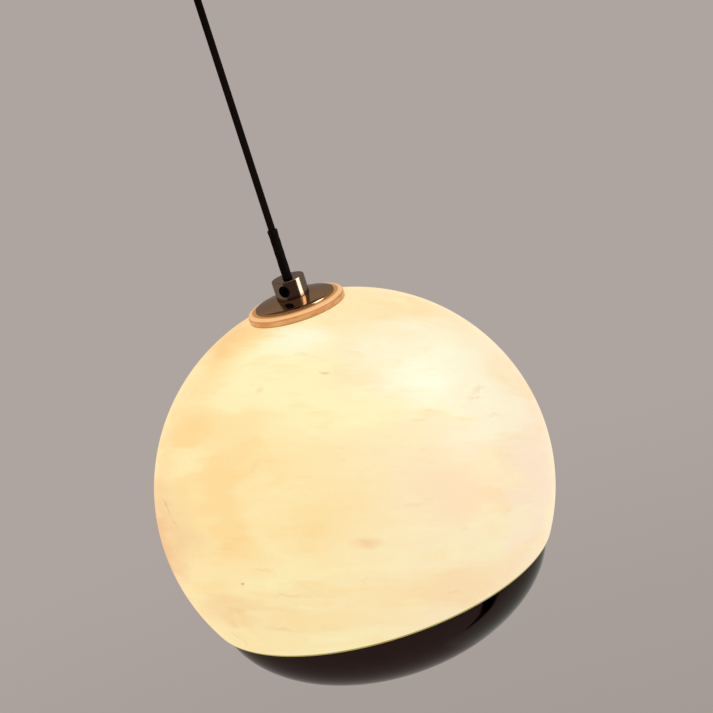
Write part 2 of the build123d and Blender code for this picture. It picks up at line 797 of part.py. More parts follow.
# Strap bracket: flat against the ceiling, with ceiling slots and two threaded ears
strap_end = sqrt((canopy_radius - canopy_wall) ** 2 - (ear_width / 2) ** 2) - ear_gap
block_centre = -block_offset
block_length = strap_width - 2 * block_inset
with BuildPart() as ceiling_bracket:
    with BuildSketch(Plane.XY.offset(-strap_thickness)):
        Rectangle(2 * strap_end - 2 * strap_thickness, strap_width)
        Rectangle(2 * strap_end, ear_width)
        with GridLocations(ceiling_slot_spacing, 0, 2, 1):
            SlotOverall(ceiling_slot_length, 2 * ceiling_slot_radius, mode=Mode.SUBTRACT)
        Circle(supply_hole_radius, mode=Mode.SUBTRACT)
        with Locations((earth_screw_place, 0)):
            Circle(earth_screw_radius + thread_clearance, mode=Mode.SUBTRACT)
        with Locations((block_centre, block_fixing_offset)):
            Circle(block_fixing_radius + thread_clearance, mode=Mode.SUBTRACT)
    extrude(amount=strap_thickness)
    for facing in (1, -1):
        ear_middle = facing * (strap_end - strap_thickness / 2)
        with BuildSketch(Plane.XY.offset(-ear_height)):
            with Locations((ear_middle, 0)):
                Rectangle(strap_thickness, ear_width)
        extrude(amount=ear_height)
        with BuildSketch(Plane(origin=(0, 0, side_screw_z), z_dir=(facing, 0, 0))):
            Circle(side_screw_radius + thread_clearance)
        extrude(amount=strap_end, mode=Mode.SUBTRACT)
    bend_edges = ceiling_bracket.edges().filter_by(Axis.Y).group_by(Axis.Z)[-1].sort_by(Axis.X)
    fillet([bend_edges[0], bend_edges[-1]], strap_thickness / 2)
save(ceiling_bracket, "ceiling_bracket")

with BuildPart() as earth_screw:
    with BuildSketch(Plane.XY.offset(-strap_thickness)):
        with Locations((earth_screw_place, 0)):
            Circle(earth_screw_radius)
    extrude(amount=strap_thickness)
    with BuildSketch(Plane.XY.offset(-strap_thickness)):
        with Locations((earth_screw_place, 0)):
            Circle(earth_screw_head_radius)
    extrude(amount=-earth_screw_head_height, taper=earth_screw_head_taper)
save(earth_screw, "earth_screw")

# Terminal block under the strap, three ways along Y, wires from the middle of the canopy
block_top_z = -strap_thickness
block_bottom_z = block_top_z - block_height
block_way_z = block_top_z - block_way_drop
block_front = block_centre + block_depth / 2
block_ways = [-block_way_pitch, 0.0, block_way_pitch]
block_screw_places = [
    (block_centre + along, way) for way in block_ways for along in (-block_screw_offset, block_screw_offset)
]
block_screw_tip_z = block_way_z - block_way_radius
fixing_head_z = block_bottom_z + block_fixing_head_height
with BuildPart() as terminal_block:
    with BuildSketch(Plane.XY.offset(block_bottom_z)):
        with Locations((block_centre, 0)):
            RectangleRounded(block_depth, block_length, block_corner)
        with Locations(*block_screw_places):
            Circle(block_screw_radius + thread_clearance, mode=Mode.SUBTRACT)
    extrude(amount=block_screw_tip_z - block_bottom_z)
    with BuildSketch(Plane.XY.offset(block_screw_tip_z)):
        with Locations((block_centre, 0)):
            RectangleRounded(block_depth, block_length, block_corner)
    extrude(amount=block_top_z - block_screw_tip_z)
    entry_side = Plane(origin=(block_centre - block_depth, 0, block_way_z), x_dir=(0, 1, 0), z_dir=(1, 0, 0))
    with BuildSketch(entry_side):
        with Locations(*[(way, 0) for way in block_ways]):
            Circle(block_way_radius)
    extrude(amount=2 * block_depth, mode=Mode.SUBTRACT)
    with BuildSketch(Plane.XY.offset(block_bottom_z)):
        with Locations((block_centre, block_fixing_offset)):
            Circle(block_fixing_radius + screw_clearance)
    extrude(amount=block_height, mode=Mode.SUBTRACT)
    with BuildSketch(Plane.XY.offset(block_bottom_z)):
        with Locations((block_centre, block_fixing_offset)):
            Circle(block_fixing_head_radius + screw_clearance)
    extrude(amount=block_fixing_head_height, mode=Mode.SUBTRACT)
save(terminal_block, "terminal_block")

with BuildPart() as terminal_screws:
    with BuildSketch(Plane.XY.offset(block_bottom_z + block_screw_recess)):
        with Locations(*block_screw_places):
            Circle(block_screw_radius)
    extrude(amount=block_screw_tip_z - block_bottom_z - block_screw_recess)
save(terminal_screws, "terminal_screws")

with BuildPart() as block_screw:
    with BuildSketch(Plane.XY.offset(fixing_head_z)):
        with Locations((block_centre, block_fixing_offset)):
            Circle(block_fixing_radius)
    extrude(amount=-fixing_head_z)
    with BuildSketch(Plane.XY.offset(fixing_head_z)):
        with Locations((block_centre, block_fixing_offset)):
            Circle(block_fixing_head_radius)
    extrude(amount=-block_fixing_head_height)
save(block_screw, "block_screw")

# The cord's tail above the ball, and its three leads to the terminal block
tail_bottom_z = pivot_z + ball_radius + turning_clearance
tail_top_z = block_way_z - lead_run_rise
with BuildPart() as cord_tail:
    with BuildSketch(Plane.XY.offset(tail_bottom_z)):
        Circle(cord_radius)
    extrude(amount=tail_top_z - tail_bottom_z)
save(cord_tail, "cord_tail")

lead_names = ["lead_earth", "lead_neutral", "lead_live"]
lead_starts = [(0, -tail_lead_circle_radius), (-tail_lead_circle_radius, 0), (0, tail_lead_circle_radius)]
for lead_name, (start_x, start_y), way in zip(lead_names, lead_starts, block_ways, strict=True):
    lead_points = [(start_x, start_y, tail_top_z), (start_x, start_y, block_way_z)]
    if way:
        lead_points.append((block_front + lead_turn_gap, way, block_way_z))
    lead_points.append((block_front - lead_into_block, way, block_way_z))
    wires(lead_name, [(lead_points, lead_bend_radius)], lead_radius)

print("cord length", round(cord_top_z - cord_end_z, 1), "mm")
print("lowest point", round(nut_bottom_z, 1), "mm")
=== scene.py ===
"""The looks of the alabaster globe pendant light, built round its packed construction.

+Z is up and the lamp hangs on the Z axis, with the ceiling at z = 0. Sizes in the classes are in
millimetres, and meshes, lights and the camera are in metres.
"""

import logging
from collections.abc import Sequence
from dataclasses import dataclass
from enum import Enum
from math import asin, cos, degrees, pi, radians, sin, sqrt

import bmesh
import bpy
from mathutils import Matrix, Vector


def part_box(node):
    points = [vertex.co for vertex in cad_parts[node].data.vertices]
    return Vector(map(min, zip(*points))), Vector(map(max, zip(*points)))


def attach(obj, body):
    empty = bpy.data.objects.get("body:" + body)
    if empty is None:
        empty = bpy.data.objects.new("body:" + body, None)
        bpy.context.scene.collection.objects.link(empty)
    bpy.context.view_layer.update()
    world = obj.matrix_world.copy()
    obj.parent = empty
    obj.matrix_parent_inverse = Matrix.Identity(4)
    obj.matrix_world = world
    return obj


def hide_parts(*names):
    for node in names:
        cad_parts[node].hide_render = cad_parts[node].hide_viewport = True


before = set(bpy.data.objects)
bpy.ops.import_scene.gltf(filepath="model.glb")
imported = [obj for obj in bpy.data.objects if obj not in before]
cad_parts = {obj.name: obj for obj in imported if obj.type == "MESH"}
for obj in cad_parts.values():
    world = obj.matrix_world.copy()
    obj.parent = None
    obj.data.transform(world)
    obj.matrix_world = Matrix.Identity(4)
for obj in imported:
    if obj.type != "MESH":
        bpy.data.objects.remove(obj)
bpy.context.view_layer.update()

MM = 0.001
AXIS_GAP = 1e-6
SMOOTH_ANGLE = radians(32)
Point = tuple[float, float]
Place = tuple[float, float, float]
Colour = tuple[float, float, float, float]
Piece = bpy.types.Object
Tree = bpy.types.NodeTree
Node = bpy.types.Node
Socket = bpy.types.NodeSocket
log = logging.getLogger("pendant")


def to_linear(code: str) -> Colour:
    """Turn an sRGB hex colour into linear light.

    Args:
        code: The colour, such as "#C8A27E".

    Returns:
        Red, green, blue and an alpha of 1.
    """
    shares = [int(code[place:place + 2], 16) / 255 for place in (1, 3, 5)]
    red, green, blue = (c / 12.92 if c <= 0.04045 else ((c + 0.055) / 1.055) ** 2.4 for c in shares)
    return red, green, blue, 1.0


def join(node: Node, inputs: dict[str | int, object]) -> None:
    """Give a node's inputs their values, and link those that get a socket.

    Args:
        node: The node.
        inputs: For each input's name or number, a value, or a socket to link.
    """
    for key, value in inputs.items():
        if isinstance(value, Socket):
            node.id_data.links.new(value, node.inputs[key])
        else:
            node.inputs[key].default_value = value


def add(tree: Tree, kind: str, inputs: dict[str | int, object] | None = None, **settings: object) -> Node:
    """Add one node to a tree.

    Args:
        tree: The shader or geometry tree.
        kind: The node's type name.
        inputs: For each input's name or number, a value, or a socket to link.
        settings: The node's own properties.

    Returns:
        The new node.
    """
    node = tree.nodes.new(kind)
    for key, value in settings.items():
        setattr(node, key, value)
    join(node, inputs or {})
    return node


def bare_tree(owner: bpy.types.Material | bpy.types.World) -> Tree:
    """Empty the node tree of a material or a world.

    Args:
        owner: The material or the world.

    Returns:
        Its node tree, with no node in it.
    """
    owner.use_nodes = True
    owner.node_tree.nodes.clear()
    return owner.node_tree


class Growth(Enum):
    """How a tint grows between the level at which it starts and the one at which it is full."""

    SOFT = "SMOOTHSTEP"
    EVEN = "LINEAR"


def tinted(
    tree: Tree, ground: Socket | Colour, tone: str, level: Socket, start: float, end: float,
    share: float = 1.0, growth: Growth = Growth.SOFT,
) -> Socket:
    """Tint a colour where a level is high.

    Args:
        tree: The material's node tree.
        ground: The colour to tint.
        tone: The colour that it turns.
        level: The level.
        start: The level at which the tint starts.
        end: The level at which it is full.
        share: How much of the tone the full tint has.
        growth: How it grows in between.

    Returns:
        The tinted colour.
    """
    amount = add(tree, "ShaderNodeMapRange", {
        "Value": level, "From Min": start, "From Max": end, "To Max": share,
    }, interpolation_type=growth.value)
    return add(tree, "ShaderNodeMix", {
        0: amount.outputs[0], 6: ground, 7: to_linear(tone),
    }, data_type="RGBA").outputs[2]


def mottled(tree: Tree, colour: Socket | Colour, noise: Socket, least: float) -> Socket:
    """Darken a colour a little where a noise is low.

    Args:
        tree: The material's node tree.
        colour: The colour.
        noise: The noise, which is mostly between 0.3 and 0.7.
        least: How much of the colour the darkest places keep.

    Returns:
        The mottled colour.
    """
    level = add(tree, "ShaderNodeMapRange", {
        "Value": noise, "From Min": 0.3, "From Max": 0.7, "To Min": least, "To Max": 1.0,
    })
    return add(tree, "ShaderNodeMix", {
        0: 1.0, 6: colour, 7: level.outputs[0],
    }, data_type="RGBA", blend_type="MULTIPLY").outputs[2]


def grained(tree: Tree, place: Socket, size: float, strength: float, height: float) -> Socket:
    """Bend a surface's normals by a fine grain.

    Args:
        tree: The material's node tree.
        place: The point on the object, in millimetres.
        size: The grain's size in millimetres, coarser than a real one, so that it shows.
        strength: How much of the bending shows.
        height: The grain's height in millimetres.

    Returns:
        The normals.
    """
    grain = add(tree, "ShaderNodeTexNoise", {"Vector": place, "Scale": 1 / size, "Detail": 2.0})
    return add(tree, "ShaderNodeBump", {
        "Height": grain.outputs["Fac"], "Strength": strength, "Distance": height * MM,
    }).outputs[0]


def from_axis(tree: Tree, point: Socket) -> Socket:
    """Measure how far a point is from the Z axis."""
    level = add(tree, "ShaderNodeMapping", {"Vector": point, "Scale": (1.0, 1.0, 0.0)})
    return add(tree, "ShaderNodeVectorMath", {0: level.outputs[0]}, operation="LENGTH").outputs["Value"]


@dataclass(frozen=True)
class Extent:
    """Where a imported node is, in millimetres.

    Attributes:
        radius: How far it reaches from the lamp's axis.
        low: Its lowest height.
        high: Its highest height.
    """

    radius: float
    low: float
    high: float


def extent(node: str) -> Extent:
    """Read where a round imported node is, in millimetres."""
    low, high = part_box(node)
    return Extent((high.x - low.x) / 2 / MM, low.z / MM, high.z / MM)


def arc(centre: Point, across: float, up: float, start: float, end: float, steps: int) -> list[Point]:
    """Give the points of an ellipse's arc, both ends among them, with angles in degrees from outward."""
    turns = [radians(start + (end - start) * step / steps) for step in range(steps + 1)]
    return [(centre[0] + across * cos(turn), centre[1] + up * sin(turn)) for turn in turns]


def softened(profile: Sequence[Point], radius: float, steps: int = 4) -> list[Point]:
    """Round the corners of a closed profile, but for those on the axis.

    Args:
        profile: Radius and height of each corner.
        radius: How far along its two edges each round reaches.
        steps: How many chords a round has.

    Returns:
        The rounded profile.
    """
    least_turn = radians(15)
    most_of_edge = 0.45
    rounded = []
    for place, corner in enumerate(profile):
        here = Vector(corner)
        back = Vector(profile[place - 1]) - here
        on = Vector(profile[(place + 1) % len(profile)]) - here
        if here.x < AXIS_GAP or pi - back.angle(on) < least_turn:
            rounded.append(corner)
            continue
        reach = min(radius, most_of_edge * back.length, most_of_edge * on.length)
        start, end = here + back.normalized() * reach, here + on.normalized() * reach
        for step in range(steps + 1):
            share = step / steps
            point = start * (1 - share) ** 2 + here * (2 * share * (1 - share)) + end * share ** 2
            rounded.append((point.x, point.y))
    return rounded


def divided(profile: Sequence[Point], longest: float) -> list[Point]:
    """Divide a closed profile's long edges, so that a wall has rows of faces.

    Args:
        profile: Radius and height of each corner.
        longest: The longest edge that stays whole.

    Returns:
        The profile with the added points.
    """
    points = []
    for place, corner in enumerate(profile):
        here, there = Vector(corner), Vector(profile[(place + 1) % len(profile)])
        parts = max(1, round((there - here).length / longest))
        points += [tuple(here.lerp(there, part / parts)) for part in range(parts)]
    return points


def in_scene(name: str, data: bpy.types.ID) -> Piece:
    """Make an object of a mesh, a curve, a light or a camera, and put it into the scene.

    Args:
        name: The object's name.
        data: What it shows.

    Returns:
        The object, at the origin.
    """
    made = bpy.data.objects.new(name, data)
    bpy.context.scene.collection.objects.link(made)
    return made


def settle(piece: Piece, modifier: bpy.types.Modifier) -> None:
    """Make what a modifier gives the piece's own plain mesh, and remove the modifier.

    Args:
        piece: The piece.
        modifier: Its only modifier.
    """
    graph = bpy.context.evaluated_depsgraph_get()
    mesh = bpy.data.meshes.new_from_object(piece.evaluated_get(graph))
    piece.modifiers.remove(modifier)
    piece.data = mesh
    mesh.set_sharp_from_angle(angle=SMOOTH_ANGLE)


def piece_of(name: str, shape: bmesh.types.BMesh, placed: Matrix | None = None) -> Piece:
    """Make a shape drawn in millimetres an object, with its normals outward and its curves smooth.

    Args:
        name: The piece's name.
        shape: The shape, which is freed.
        placed: Where it goes, with its move in millimetres too.

    Returns:
        The object, at the origin.
    """
    bmesh.ops.remove_doubles(shape, verts=shape.verts, dist=1e-5)
    bmesh.ops.recalc_face_normals(shape, faces=shape.faces)
    shape.transform(Matrix.Scale(MM, 4) @ (placed or Matrix.Identity(4)))
    for face in shape.faces:
        face.smooth = True
    mesh = bpy.data.meshes.new(name)
    shape.to_mesh(mesh)
    shape.free()
    mesh.set_sharp_from_angle(angle=SMOOTH_ANGLE)
    return in_scene(name, mesh)


def turned(name: str, profile: Sequence[Point], segments: int = 192, placed: Matrix | None = None) -> Piece:
    """Turn a closed profile about the Z axis, as a lathe does.

    Args:
        name: The piece's name.
        profile: Radius and height of each corner, in millimetres.
        segments: How many faces go round.
        placed: Where the finished shape goes.

    Returns:
        The piece.
    """
    shape = bmesh.new()
    turns = [2 * pi * step / segments for step in range(segments)]
    rings = []
    for radius, height in profile:
        places = [(radius * cos(turn), radius * sin(turn), height) for turn in turns]
        rings.append([shape.verts.new(place) for place in (places if radius > AXIS_GAP else places[:1])])
    for low, high in zip(rings, rings[1:] + rings[:1]):
        if len(low) == len(high) == 1:
            continue
        for step in range(segments):
            beside = (step + 1) % segments
            corners = (
                low[step % len(low)], low[beside % len(low)],
                high[beside % len(high)], high[step % len(high)],
            )
            shape.faces.new(tuple(dict.fromkeys(corners)))
    return piece_of(name, shape, placed)


def cut(piece: Piece, cutter: Piece) -> None:
    """Cut one piece's shape out of another, and remove the cutter.

    Args:
        piece: The piece that stays.
        cutter: The shape that is taken out of it.
    """
    modifier = piece.modifiers.new("cut", "BOOLEAN")
    modifier.operation = "DIFFERENCE"
    modifier.solver = "EXACT"
    modifier.object = cutter
    settle(piece, modifier)
    bpy.data.objects.remove(cutter)


def softened_corner(corner: Point, reach: float) -> list[Point]:
    """Give the two ends of the small flat that breaks an outer lower corner, from the lower face on."""
    return [(corner[0] - reach, corner[1]), (corner[0], corner[1] + reach)]


class GeometryProgram:
    """A geometry node tree with named sizes, which is run once and leaves a plain mesh."""

    def __init__(self, name: str, **sizes: float) -> None:
        """Make the tree with one float input for each size.

        Args:
            name: What the program makes.
            sizes: The value that each named input gets.
        """
        self.name = name
        self.sizes = sizes
        self.tree = bpy.data.node_groups.new(name, "GeometryNodeTree")
        self.tree.interface.new_socket("Geometry", in_out="INPUT", socket_type="NodeSocketGeometry")
        self.tree.interface.new_socket("Geometry", in_out="OUTPUT", socket_type="NodeSocketGeometry")
        for size in sizes:
            self.tree.interface.new_socket(size, in_out="INPUT", socket_type="NodeSocketFloat")
        self.start = add(self.tree, "NodeGroupInput")

    def size(self, name: str) -> Socket:
        """The tree's input of that name."""
        return self.start.outputs[name]

    def end(self, geometry: Socket, material: bpy.types.Material) -> None:
        """Close the tree: make copies real and give them their material.

        Args:
            geometry: What the tree has made.
            material: The finish of all of it.
        """
        real = add(self.tree, "GeometryNodeRealizeInstances", {"Geometry": geometry})
        dressed = add(self.tree, "GeometryNodeSetMaterial", {
            "Geometry": real.outputs[0], "Material": material,
        })
        add(self.tree, "NodeGroupOutput", {"Geometry": dressed.outputs[0]})

    def run(self, blank: Piece) -> Piece:
        """Run the tree on an object's mesh and leave the result there as a plain mesh.

        Args:
            blank: The object that holds what the tree starts from, which may be empty.

        Returns:
            The same object.
        """
        modifier = blank.modifiers.new(self.name, "NODES")
        modifier.node_group = self.tree
        for item in self.tree.interface.items_tree:
            if item.in_out == "INPUT" and item.name in self.sizes:
                modifier[item.identifier] = float(self.sizes[item.name])
        settle(blank, modifier)
        return blank


@dataclass(frozen=True)
class Finish:
    """A finish, whose material is built once and shared by every piece that has it.

    Attributes:
        name: The material's name.
    """

    name: str

    def shade(self, tree: Tree, place: Socket) -> dict[str, object]:
        """Build the finish's pattern.

        Args:
            tree: The material's node tree.
            place: The point on the object, in millimetres.

        Returns:
            What the inputs of the material's Principled node get.
        """
        raise NotImplementedError

    def material(self) -> bpy.types.Material:
        """Find the finish's material, or build it if this is its first use.

        Returns:
            The material.
        """
        if self.name in bpy.data.materials:
            return bpy.data.materials[self.name]
        made = bpy.data.materials.new(self.name)
        made.use_nodes = True
        tree = made.node_tree
        own = add(tree, "ShaderNodeTexCoord").outputs["Object"]
        place = add(tree, "ShaderNodeMapping", {"Vector": own, "Scale": (1 / MM,) * 3})
        join(tree.nodes["Principled BSDF"], self.shade(tree, place.outputs[0]))
        return made

    def paint(self, piece: Piece) -> Piece:
        """Give a piece this finish all over.

        Args:
            piece: The piece.

        Returns:
            The same piece.
        """
        piece.data.materials.clear()
        piece.data.materials.append(self.material())
        return piece


@dataclass(frozen=True)
class LitFinish(Finish):
    """A translucent finish with light behind it, which glows more than it shows its own shade.

    Attributes:
        glow: How strongly its colour shines.
        own_share: How much of its colour it also shows under other light.
    """

    glow: float = 0.85
    own_share: float = 0.15

    def shine(self, tree: Tree, colour: Socket) -> dict[str, object]:
        """Let a pattern's colour shine.

        Args:
            tree: The material's node tree.
            colour: The colour.

        Returns:
            What the surface's own colour and its glow get.
        """
        own = add(tree, "ShaderNodeMix", {
            0: self.own_share, 6: to_linear("#000000"), 7: colour,
        }, data_type="RGBA")
        return {"Base Color": own.outputs[2], "Emission Color": colour, "Emission Strength": self.glow}


class Tone(Enum):
    """The stone's colours where the light comes through it, as they show."""

    WARM = "#FFE8AE"
    # Partly painted light: clearer stone, and the pool of light over the lamps inside
    BRIGHT = "#FFFDE0"
    PALE = "#FFEDCA"
    LEMON = "#FFF6C2"
    PEACH = "#FFD894"
    PINK = "#FFE2BA"
    # Painted light: the pale band down the right rim
    RIM_LIGHT_PALE = "#FFE6CB"
    SPOT = "#F0C58E"
    VEIN = "#D9B07C"
    # Real stains, and painted shade in the deeper band down the left rim
    STAIN_AND_RIM_SHADE = "#F0B880"
    # Painted shade: the dim band round the edge at the mouth
    LIP_SHADE = "#A89A48"


@dataclass(frozen=True)
class Cloud:
    """A soft patch in the stone, in shares of the globe's radius, seen from the front.

    Attributes:
        across: Its place to the right of the middle.
        up: Its place above the middle.
        wide: Half its width.
        tall: Half its height.
        tilt: How far its long side rises to the right, in degrees.
        tone: Its colour.
        share: How much of that colour its middle has.
    """

    across: float
    up: float
    wide: float
    tall: float
    tilt: float
    tone: Tone
    share: float


@dataclass(frozen=True)
class Wash:
    """A random veil of colour that runs all through the stone.

    Attributes:
        long: How often it changes along the stone's beds, over one radius.
        tall: How often it changes across the beds, over one radius.
        tone: Its colour.
        low: The noise level at which it starts.
        high: The noise level at which it is full.
        share: How much of its colour it has where it is full.
    """

    long: float
    tall: float
    tone: Tone
    low: float
    high: float
    share: float


@dataclass(frozen=True)
class LitAlabaster(LitFinish):
    """Turned and polished alabaster with lamps behind it.

    The stone's beds show as long feathered clouds of denser and clearer stone, a few rusty veins and a
    fine crystal grain. Light comes through it all over. Some of its colour is painted light and shade: the
    bright upper clouds are partly a painted pool of light over the lamps, a deeper band down the left rim
    is painted shade, a pale band down the right rim is painted light, and a dim band round its edge at
    the mouth, next to the bowl, is painted shade.

    Attributes:
        radius: The globe's radius.
        centre: The height of its middle.
        mouth: The height of its lower edge.
        lean: How far the patches' picture leans to the right, in degrees.
        pitch: How far that picture looks down, in degrees.
        bed_tilt: The slope of the stone's beds in that picture, in degrees.
        streak: How much finer the streaks are across the beds than along them.
        depth: How far a patch reaches into the stone, as a multiple of its width.
        seed: Where in the random noise the washes start.
        lip: The heights above the mouth, in order, between which the lip's painted shade starts, is full
            and ends.
        grain: The size of the grain in millimetres, coarser than the real crystals, so that it shows.
        clouds: The larger patches, which drift and streaks bend.
        veins: The small sharp marks.
        washes: The random veils.
    """

    radius: float = 150.0
    centre: float = -427.0
    mouth: float = -496.8
    lean: float = 18.0
    pitch: float = 20.25
    bed_tilt: float = 6.0
    streak: float = 6.5
    depth: float = 3.0
    seed: float = 2.7
    lip: tuple[float, float, float, float] = (0.1, 0.5, 1.3, 2.1)
    grain: float = 2.5
    glow: float = 0.875
    own_share: float = 0.13
    clouds: tuple[Cloud, ...] = (
        # Painted light: a pale band down the right rim
        Cloud(0.90, 0.02, 0.34, 0.75, 0, Tone.RIM_LIGHT_PALE, 0.85),
        Cloud(0.50, -0.02, 0.44, 0.26, 4, Tone.PINK, 0.95),
        Cloud(0.60, -0.42, 0.46, 0.16, 16, Tone.PINK, 0.90),
        # The bright clouds up here are clearer stone and partly a painted pool of light over the lamps
        Cloud(0.30, 0.55, 0.58, 0.34, -14, Tone.BRIGHT, 0.85),
        Cloud(0.60, 0.38, 0.40, 0.26, -28, Tone.BRIGHT, 0.50),
        Cloud(-0.34, 0.60, 0.42, 0.26, 12, Tone.LEMON, 1.00),
        Cloud(-0.26, 0.67, 0.26, 0.15, 12, Tone.BRIGHT, 0.80),
        Cloud(-0.38, 0.42, 0.50, 0.32, 6, Tone.LEMON, 0.75),
        Cloud(-0.02, 0.34, 0.48, 0.22, -4, Tone.LEMON, 0.95),
        Cloud(-0.60, 0.70, 0.34, 0.22, 35, Tone.PEACH, 1.00),
        Cloud(-0.62, 0.74, 0.22, 0.10, 38, Tone.STAIN_AND_RIM_SHADE, 0.35),
        Cloud(-0.80, 0.24, 0.26, 0.22, 20, Tone.PEACH, 0.85),
        Cloud(-0.56, 0.28, 0.30, 0.14, 6, Tone.PEACH, 0.45),
        Cloud(-0.58, 0.02, 0.40, 0.18, 16, Tone.PEACH, 0.68),
        Cloud(-0.52, -0.20, 0.50, 0.24, -8, Tone.PEACH, 0.85),
        Cloud(-0.18, -0.12, 0.46, 0.20, 6, Tone.PEACH, 0.30),
        # Painted shade: a deeper band down the left rim
        Cloud(-0.96, -0.30, 0.32, 0.52, -16, Tone.STAIN_AND_RIM_SHADE, 1.00),
        Cloud(-0.56, -0.60, 0.42, 0.12, -6, Tone.STAIN_AND_RIM_SHADE, 0.36),
        Cloud(-0.16, -0.66, 0.40, 0.12, 4, Tone.PEACH, 0.24),
        Cloud(0.30, -0.50, 0.50, 0.14, 14, Tone.PEACH, 0.34),
        Cloud(-0.28, -0.40, 0.44, 0.16, 4, Tone.LEMON, 0.30),
        Cloud(-0.04, -0.78, 0.50, 0.12, 12, Tone.LEMON, 0.75),
        Cloud(0.24, 0.86, 0.44, 0.12, -14, Tone.PEACH, 0.42),
    )
    veins: tuple[Cloud, ...] = (
        Cloud(-0.905, -0.105, 0.060, 0.006, -60, Tone.VEIN, 0.75),
        Cloud(-0.858, -0.185, 0.045, 0.005, -56, Tone.VEIN, 0.70),
        Cloud(-0.535, -0.735, 0.055, 0.004, -55, Tone.VEIN, 0.60),
        Cloud(-0.575, -0.715, 0.040, 0.004, -50, Tone.VEIN, 0.50),
        Cloud(-0.519, -0.458, 0.012, 0.008, 0, Tone.VEIN, 1.40),
        Cloud(-0.140, 0.520, 0.034, 0.008, -16, Tone.VEIN, 0.50),
        Cloud(-0.440, 0.447, 0.030, 0.018, 20, Tone.SPOT, 0.32),
        Cloud(0.575, 0.452, 0.060, 0.020, 32, Tone.SPOT, 0.34),
        Cloud(0.560, 0.410, 0.060, 0.016, 4, Tone.SPOT, 0.30),
        Cloud(0.650, 0.330, 0.050, 0.014, 10, Tone.SPOT, 0.28),
        Cloud(0.360, 0.340, 0.080, 0.015, -6, Tone.SPOT, 0.26),
        Cloud(0.290, 0.300, 0.070, 0.013, 4, Tone.SPOT, 0.24),
        Cloud(0.460, -0.495, 0.060, 0.010, 6, Tone.SPOT, 0.30),
        Cloud(-0.300, -0.505, 0.110, 0.013, 0, Tone.SPOT, 0.36),
        Cloud(-0.420, -0.390, 0.070, 0.014, -6, Tone.SPOT, 0.36),
        Cloud(-0.330, -0.670, 0.120, 0.013, -4, Tone.SPOT, 0.34),
        Cloud(-0.560, -0.590, 0.080, 0.022, -10, Tone.SPOT, 0.34),
        Cloud(0.055, -0.262, 0.100, 0.038, 0, Tone.STAIN_AND_RIM_SHADE, 0.38),
        Cloud(0.040, -0.250, 0.050, 0.014, -14, Tone.SPOT, 0.25),
        Cloud(0.740, 0.560, 0.200, 0.160, -40, Tone.PALE, 0.60),
    )
    washes: tuple[Wash, ...] = (
        Wash(1.6, 2.0, Tone.LEMON, 0.52, 0.74, 0.55),
        Wash(2.2, 2.6, Tone.PEACH, 0.54, 0.76, 0.45),
        Wash(2.0, 7.0, Tone.LEMON, 0.50, 0.72, 0.50),
        Wash(2.6, 9.0, Tone.PEACH, 0.52, 0.74, 0.42),
        Wash(5.0, 13.0, Tone.STAIN_AND_RIM_SHADE, 0.60, 0.80, 0.26),
    )

    def shifted(self, tree: Tree, point: Socket, noise: Node, reach: Place) -> Socket:
        """Move a point by a noise's colour, which is a half on average.

        Args:
            tree: The material's node tree.
            point: The point.
            noise: The noise texture.
            reach: How far it moves the point each way.

        Returns:
            The moved point.
        """
        swing = add(tree, "ShaderNodeVectorMath", {
            0: noise.outputs["Color"], 1: (0.5,) * 3,
        }, operation="SUBTRACT")
        return add(tree, "ShaderNodeVectorMath", {
            0: swing.outputs[0], 1: reach, 2: point,
        }, operation="MULTIPLY_ADD").outputs[0]

    def bent(self, tree: Tree, stone: Socket) -> Socket:
        """Bend the point in the stone by a slow drift, then by long streaks, which feathers the clouds.

        Args:
            tree: The material's node tree.
            stone: The point in the stone, in shares of its radius.

        Returns:
            The bent point.
        """
        streaked = add(tree, "ShaderNodeMapping", {
            "Vector": stone, "Rotation": (0, radians(self.bed_tilt), 0), "Scale": (1.0, 1.0, self.streak),
        })
        drift = add(tree, "ShaderNodeTexNoise", {
            "Vector": stone, "Scale": 2.4, "Detail": 3.0, "Roughness": 0.55,
        })
        streaks = add(tree, "ShaderNodeTexNoise", {
            "Vector": streaked.outputs[0], "Scale": 2.4, "Detail": 4.0, "Roughness": 0.5,
            "Distortion": 0.25,
        })
        drifted = self.shifted(tree, stone, drift, (0.30, 0.30, 0.16))
        return self.shifted(tree, drifted, streaks, (0.26, 0.26, 0.26))

    def laid(self, tree: Tree, spots: Sequence[Cloud], place: Socket, ground: Socket) -> Socket:
        """Lay soft patches over a ground colour, one after another.

        Args:
            tree: The material's node tree.
            spots: The patches.
            place: The point in the stone, in shares of its radius.
            ground: The colour under them.

        Returns:
            The colour with the patches on it.
        """
        for spot in spots:
            depth = -sqrt(max(0.0, 1 - spot.across ** 2 - spot.up ** 2))
            near = add(tree, "ShaderNodeMapping", {
                "Vector": place,
                "Location": (spot.across, depth, spot.up),
                "Rotation": (0, -radians(spot.tilt), 0),
                "Scale": (spot.wide, self.depth * spot.wide, spot.tall),
            }, vector_type="TEXTURE").outputs[0]
            fade = add(tree, "ShaderNodeTexGradient", {"Vector": near}, gradient_type="SPHERICAL")
            ground = tinted(tree, ground, spot.tone.value, fade.outputs["Fac"], 0.0, 0.95, spot.share)
        return ground

    def washed(self, tree: Tree, place: Socket, ground: Socket) -> Socket:
        """Draw the random veils over a ground colour.

        Args:
            tree: The material's node tree.
            place: The bent point in the stone.
            ground: The colour under them.

        Returns:
            The colour with the veils on it.
        """
        for step, wash in enumerate(self.washes):
            bed = add(tree, "ShaderNodeMapping", {
                "Vector": place, "Rotation": (0, radians(self.bed_tilt), 0),
                "Scale": (wash.long, wash.long, wash.tall),
            })
            veil = add(tree, "ShaderNodeTexNoise", {
                "Vector": bed.outputs[0], "W": self.seed + step, "Scale": 1.0, "Detail": 4.0,
                "Roughness": 0.5,
            }, noise_dimensions="4D").outputs["Fac"]
            ground = tinted(tree, ground, wash.tone.value, veil, wash.low, wash.high, wash.share)
        return ground

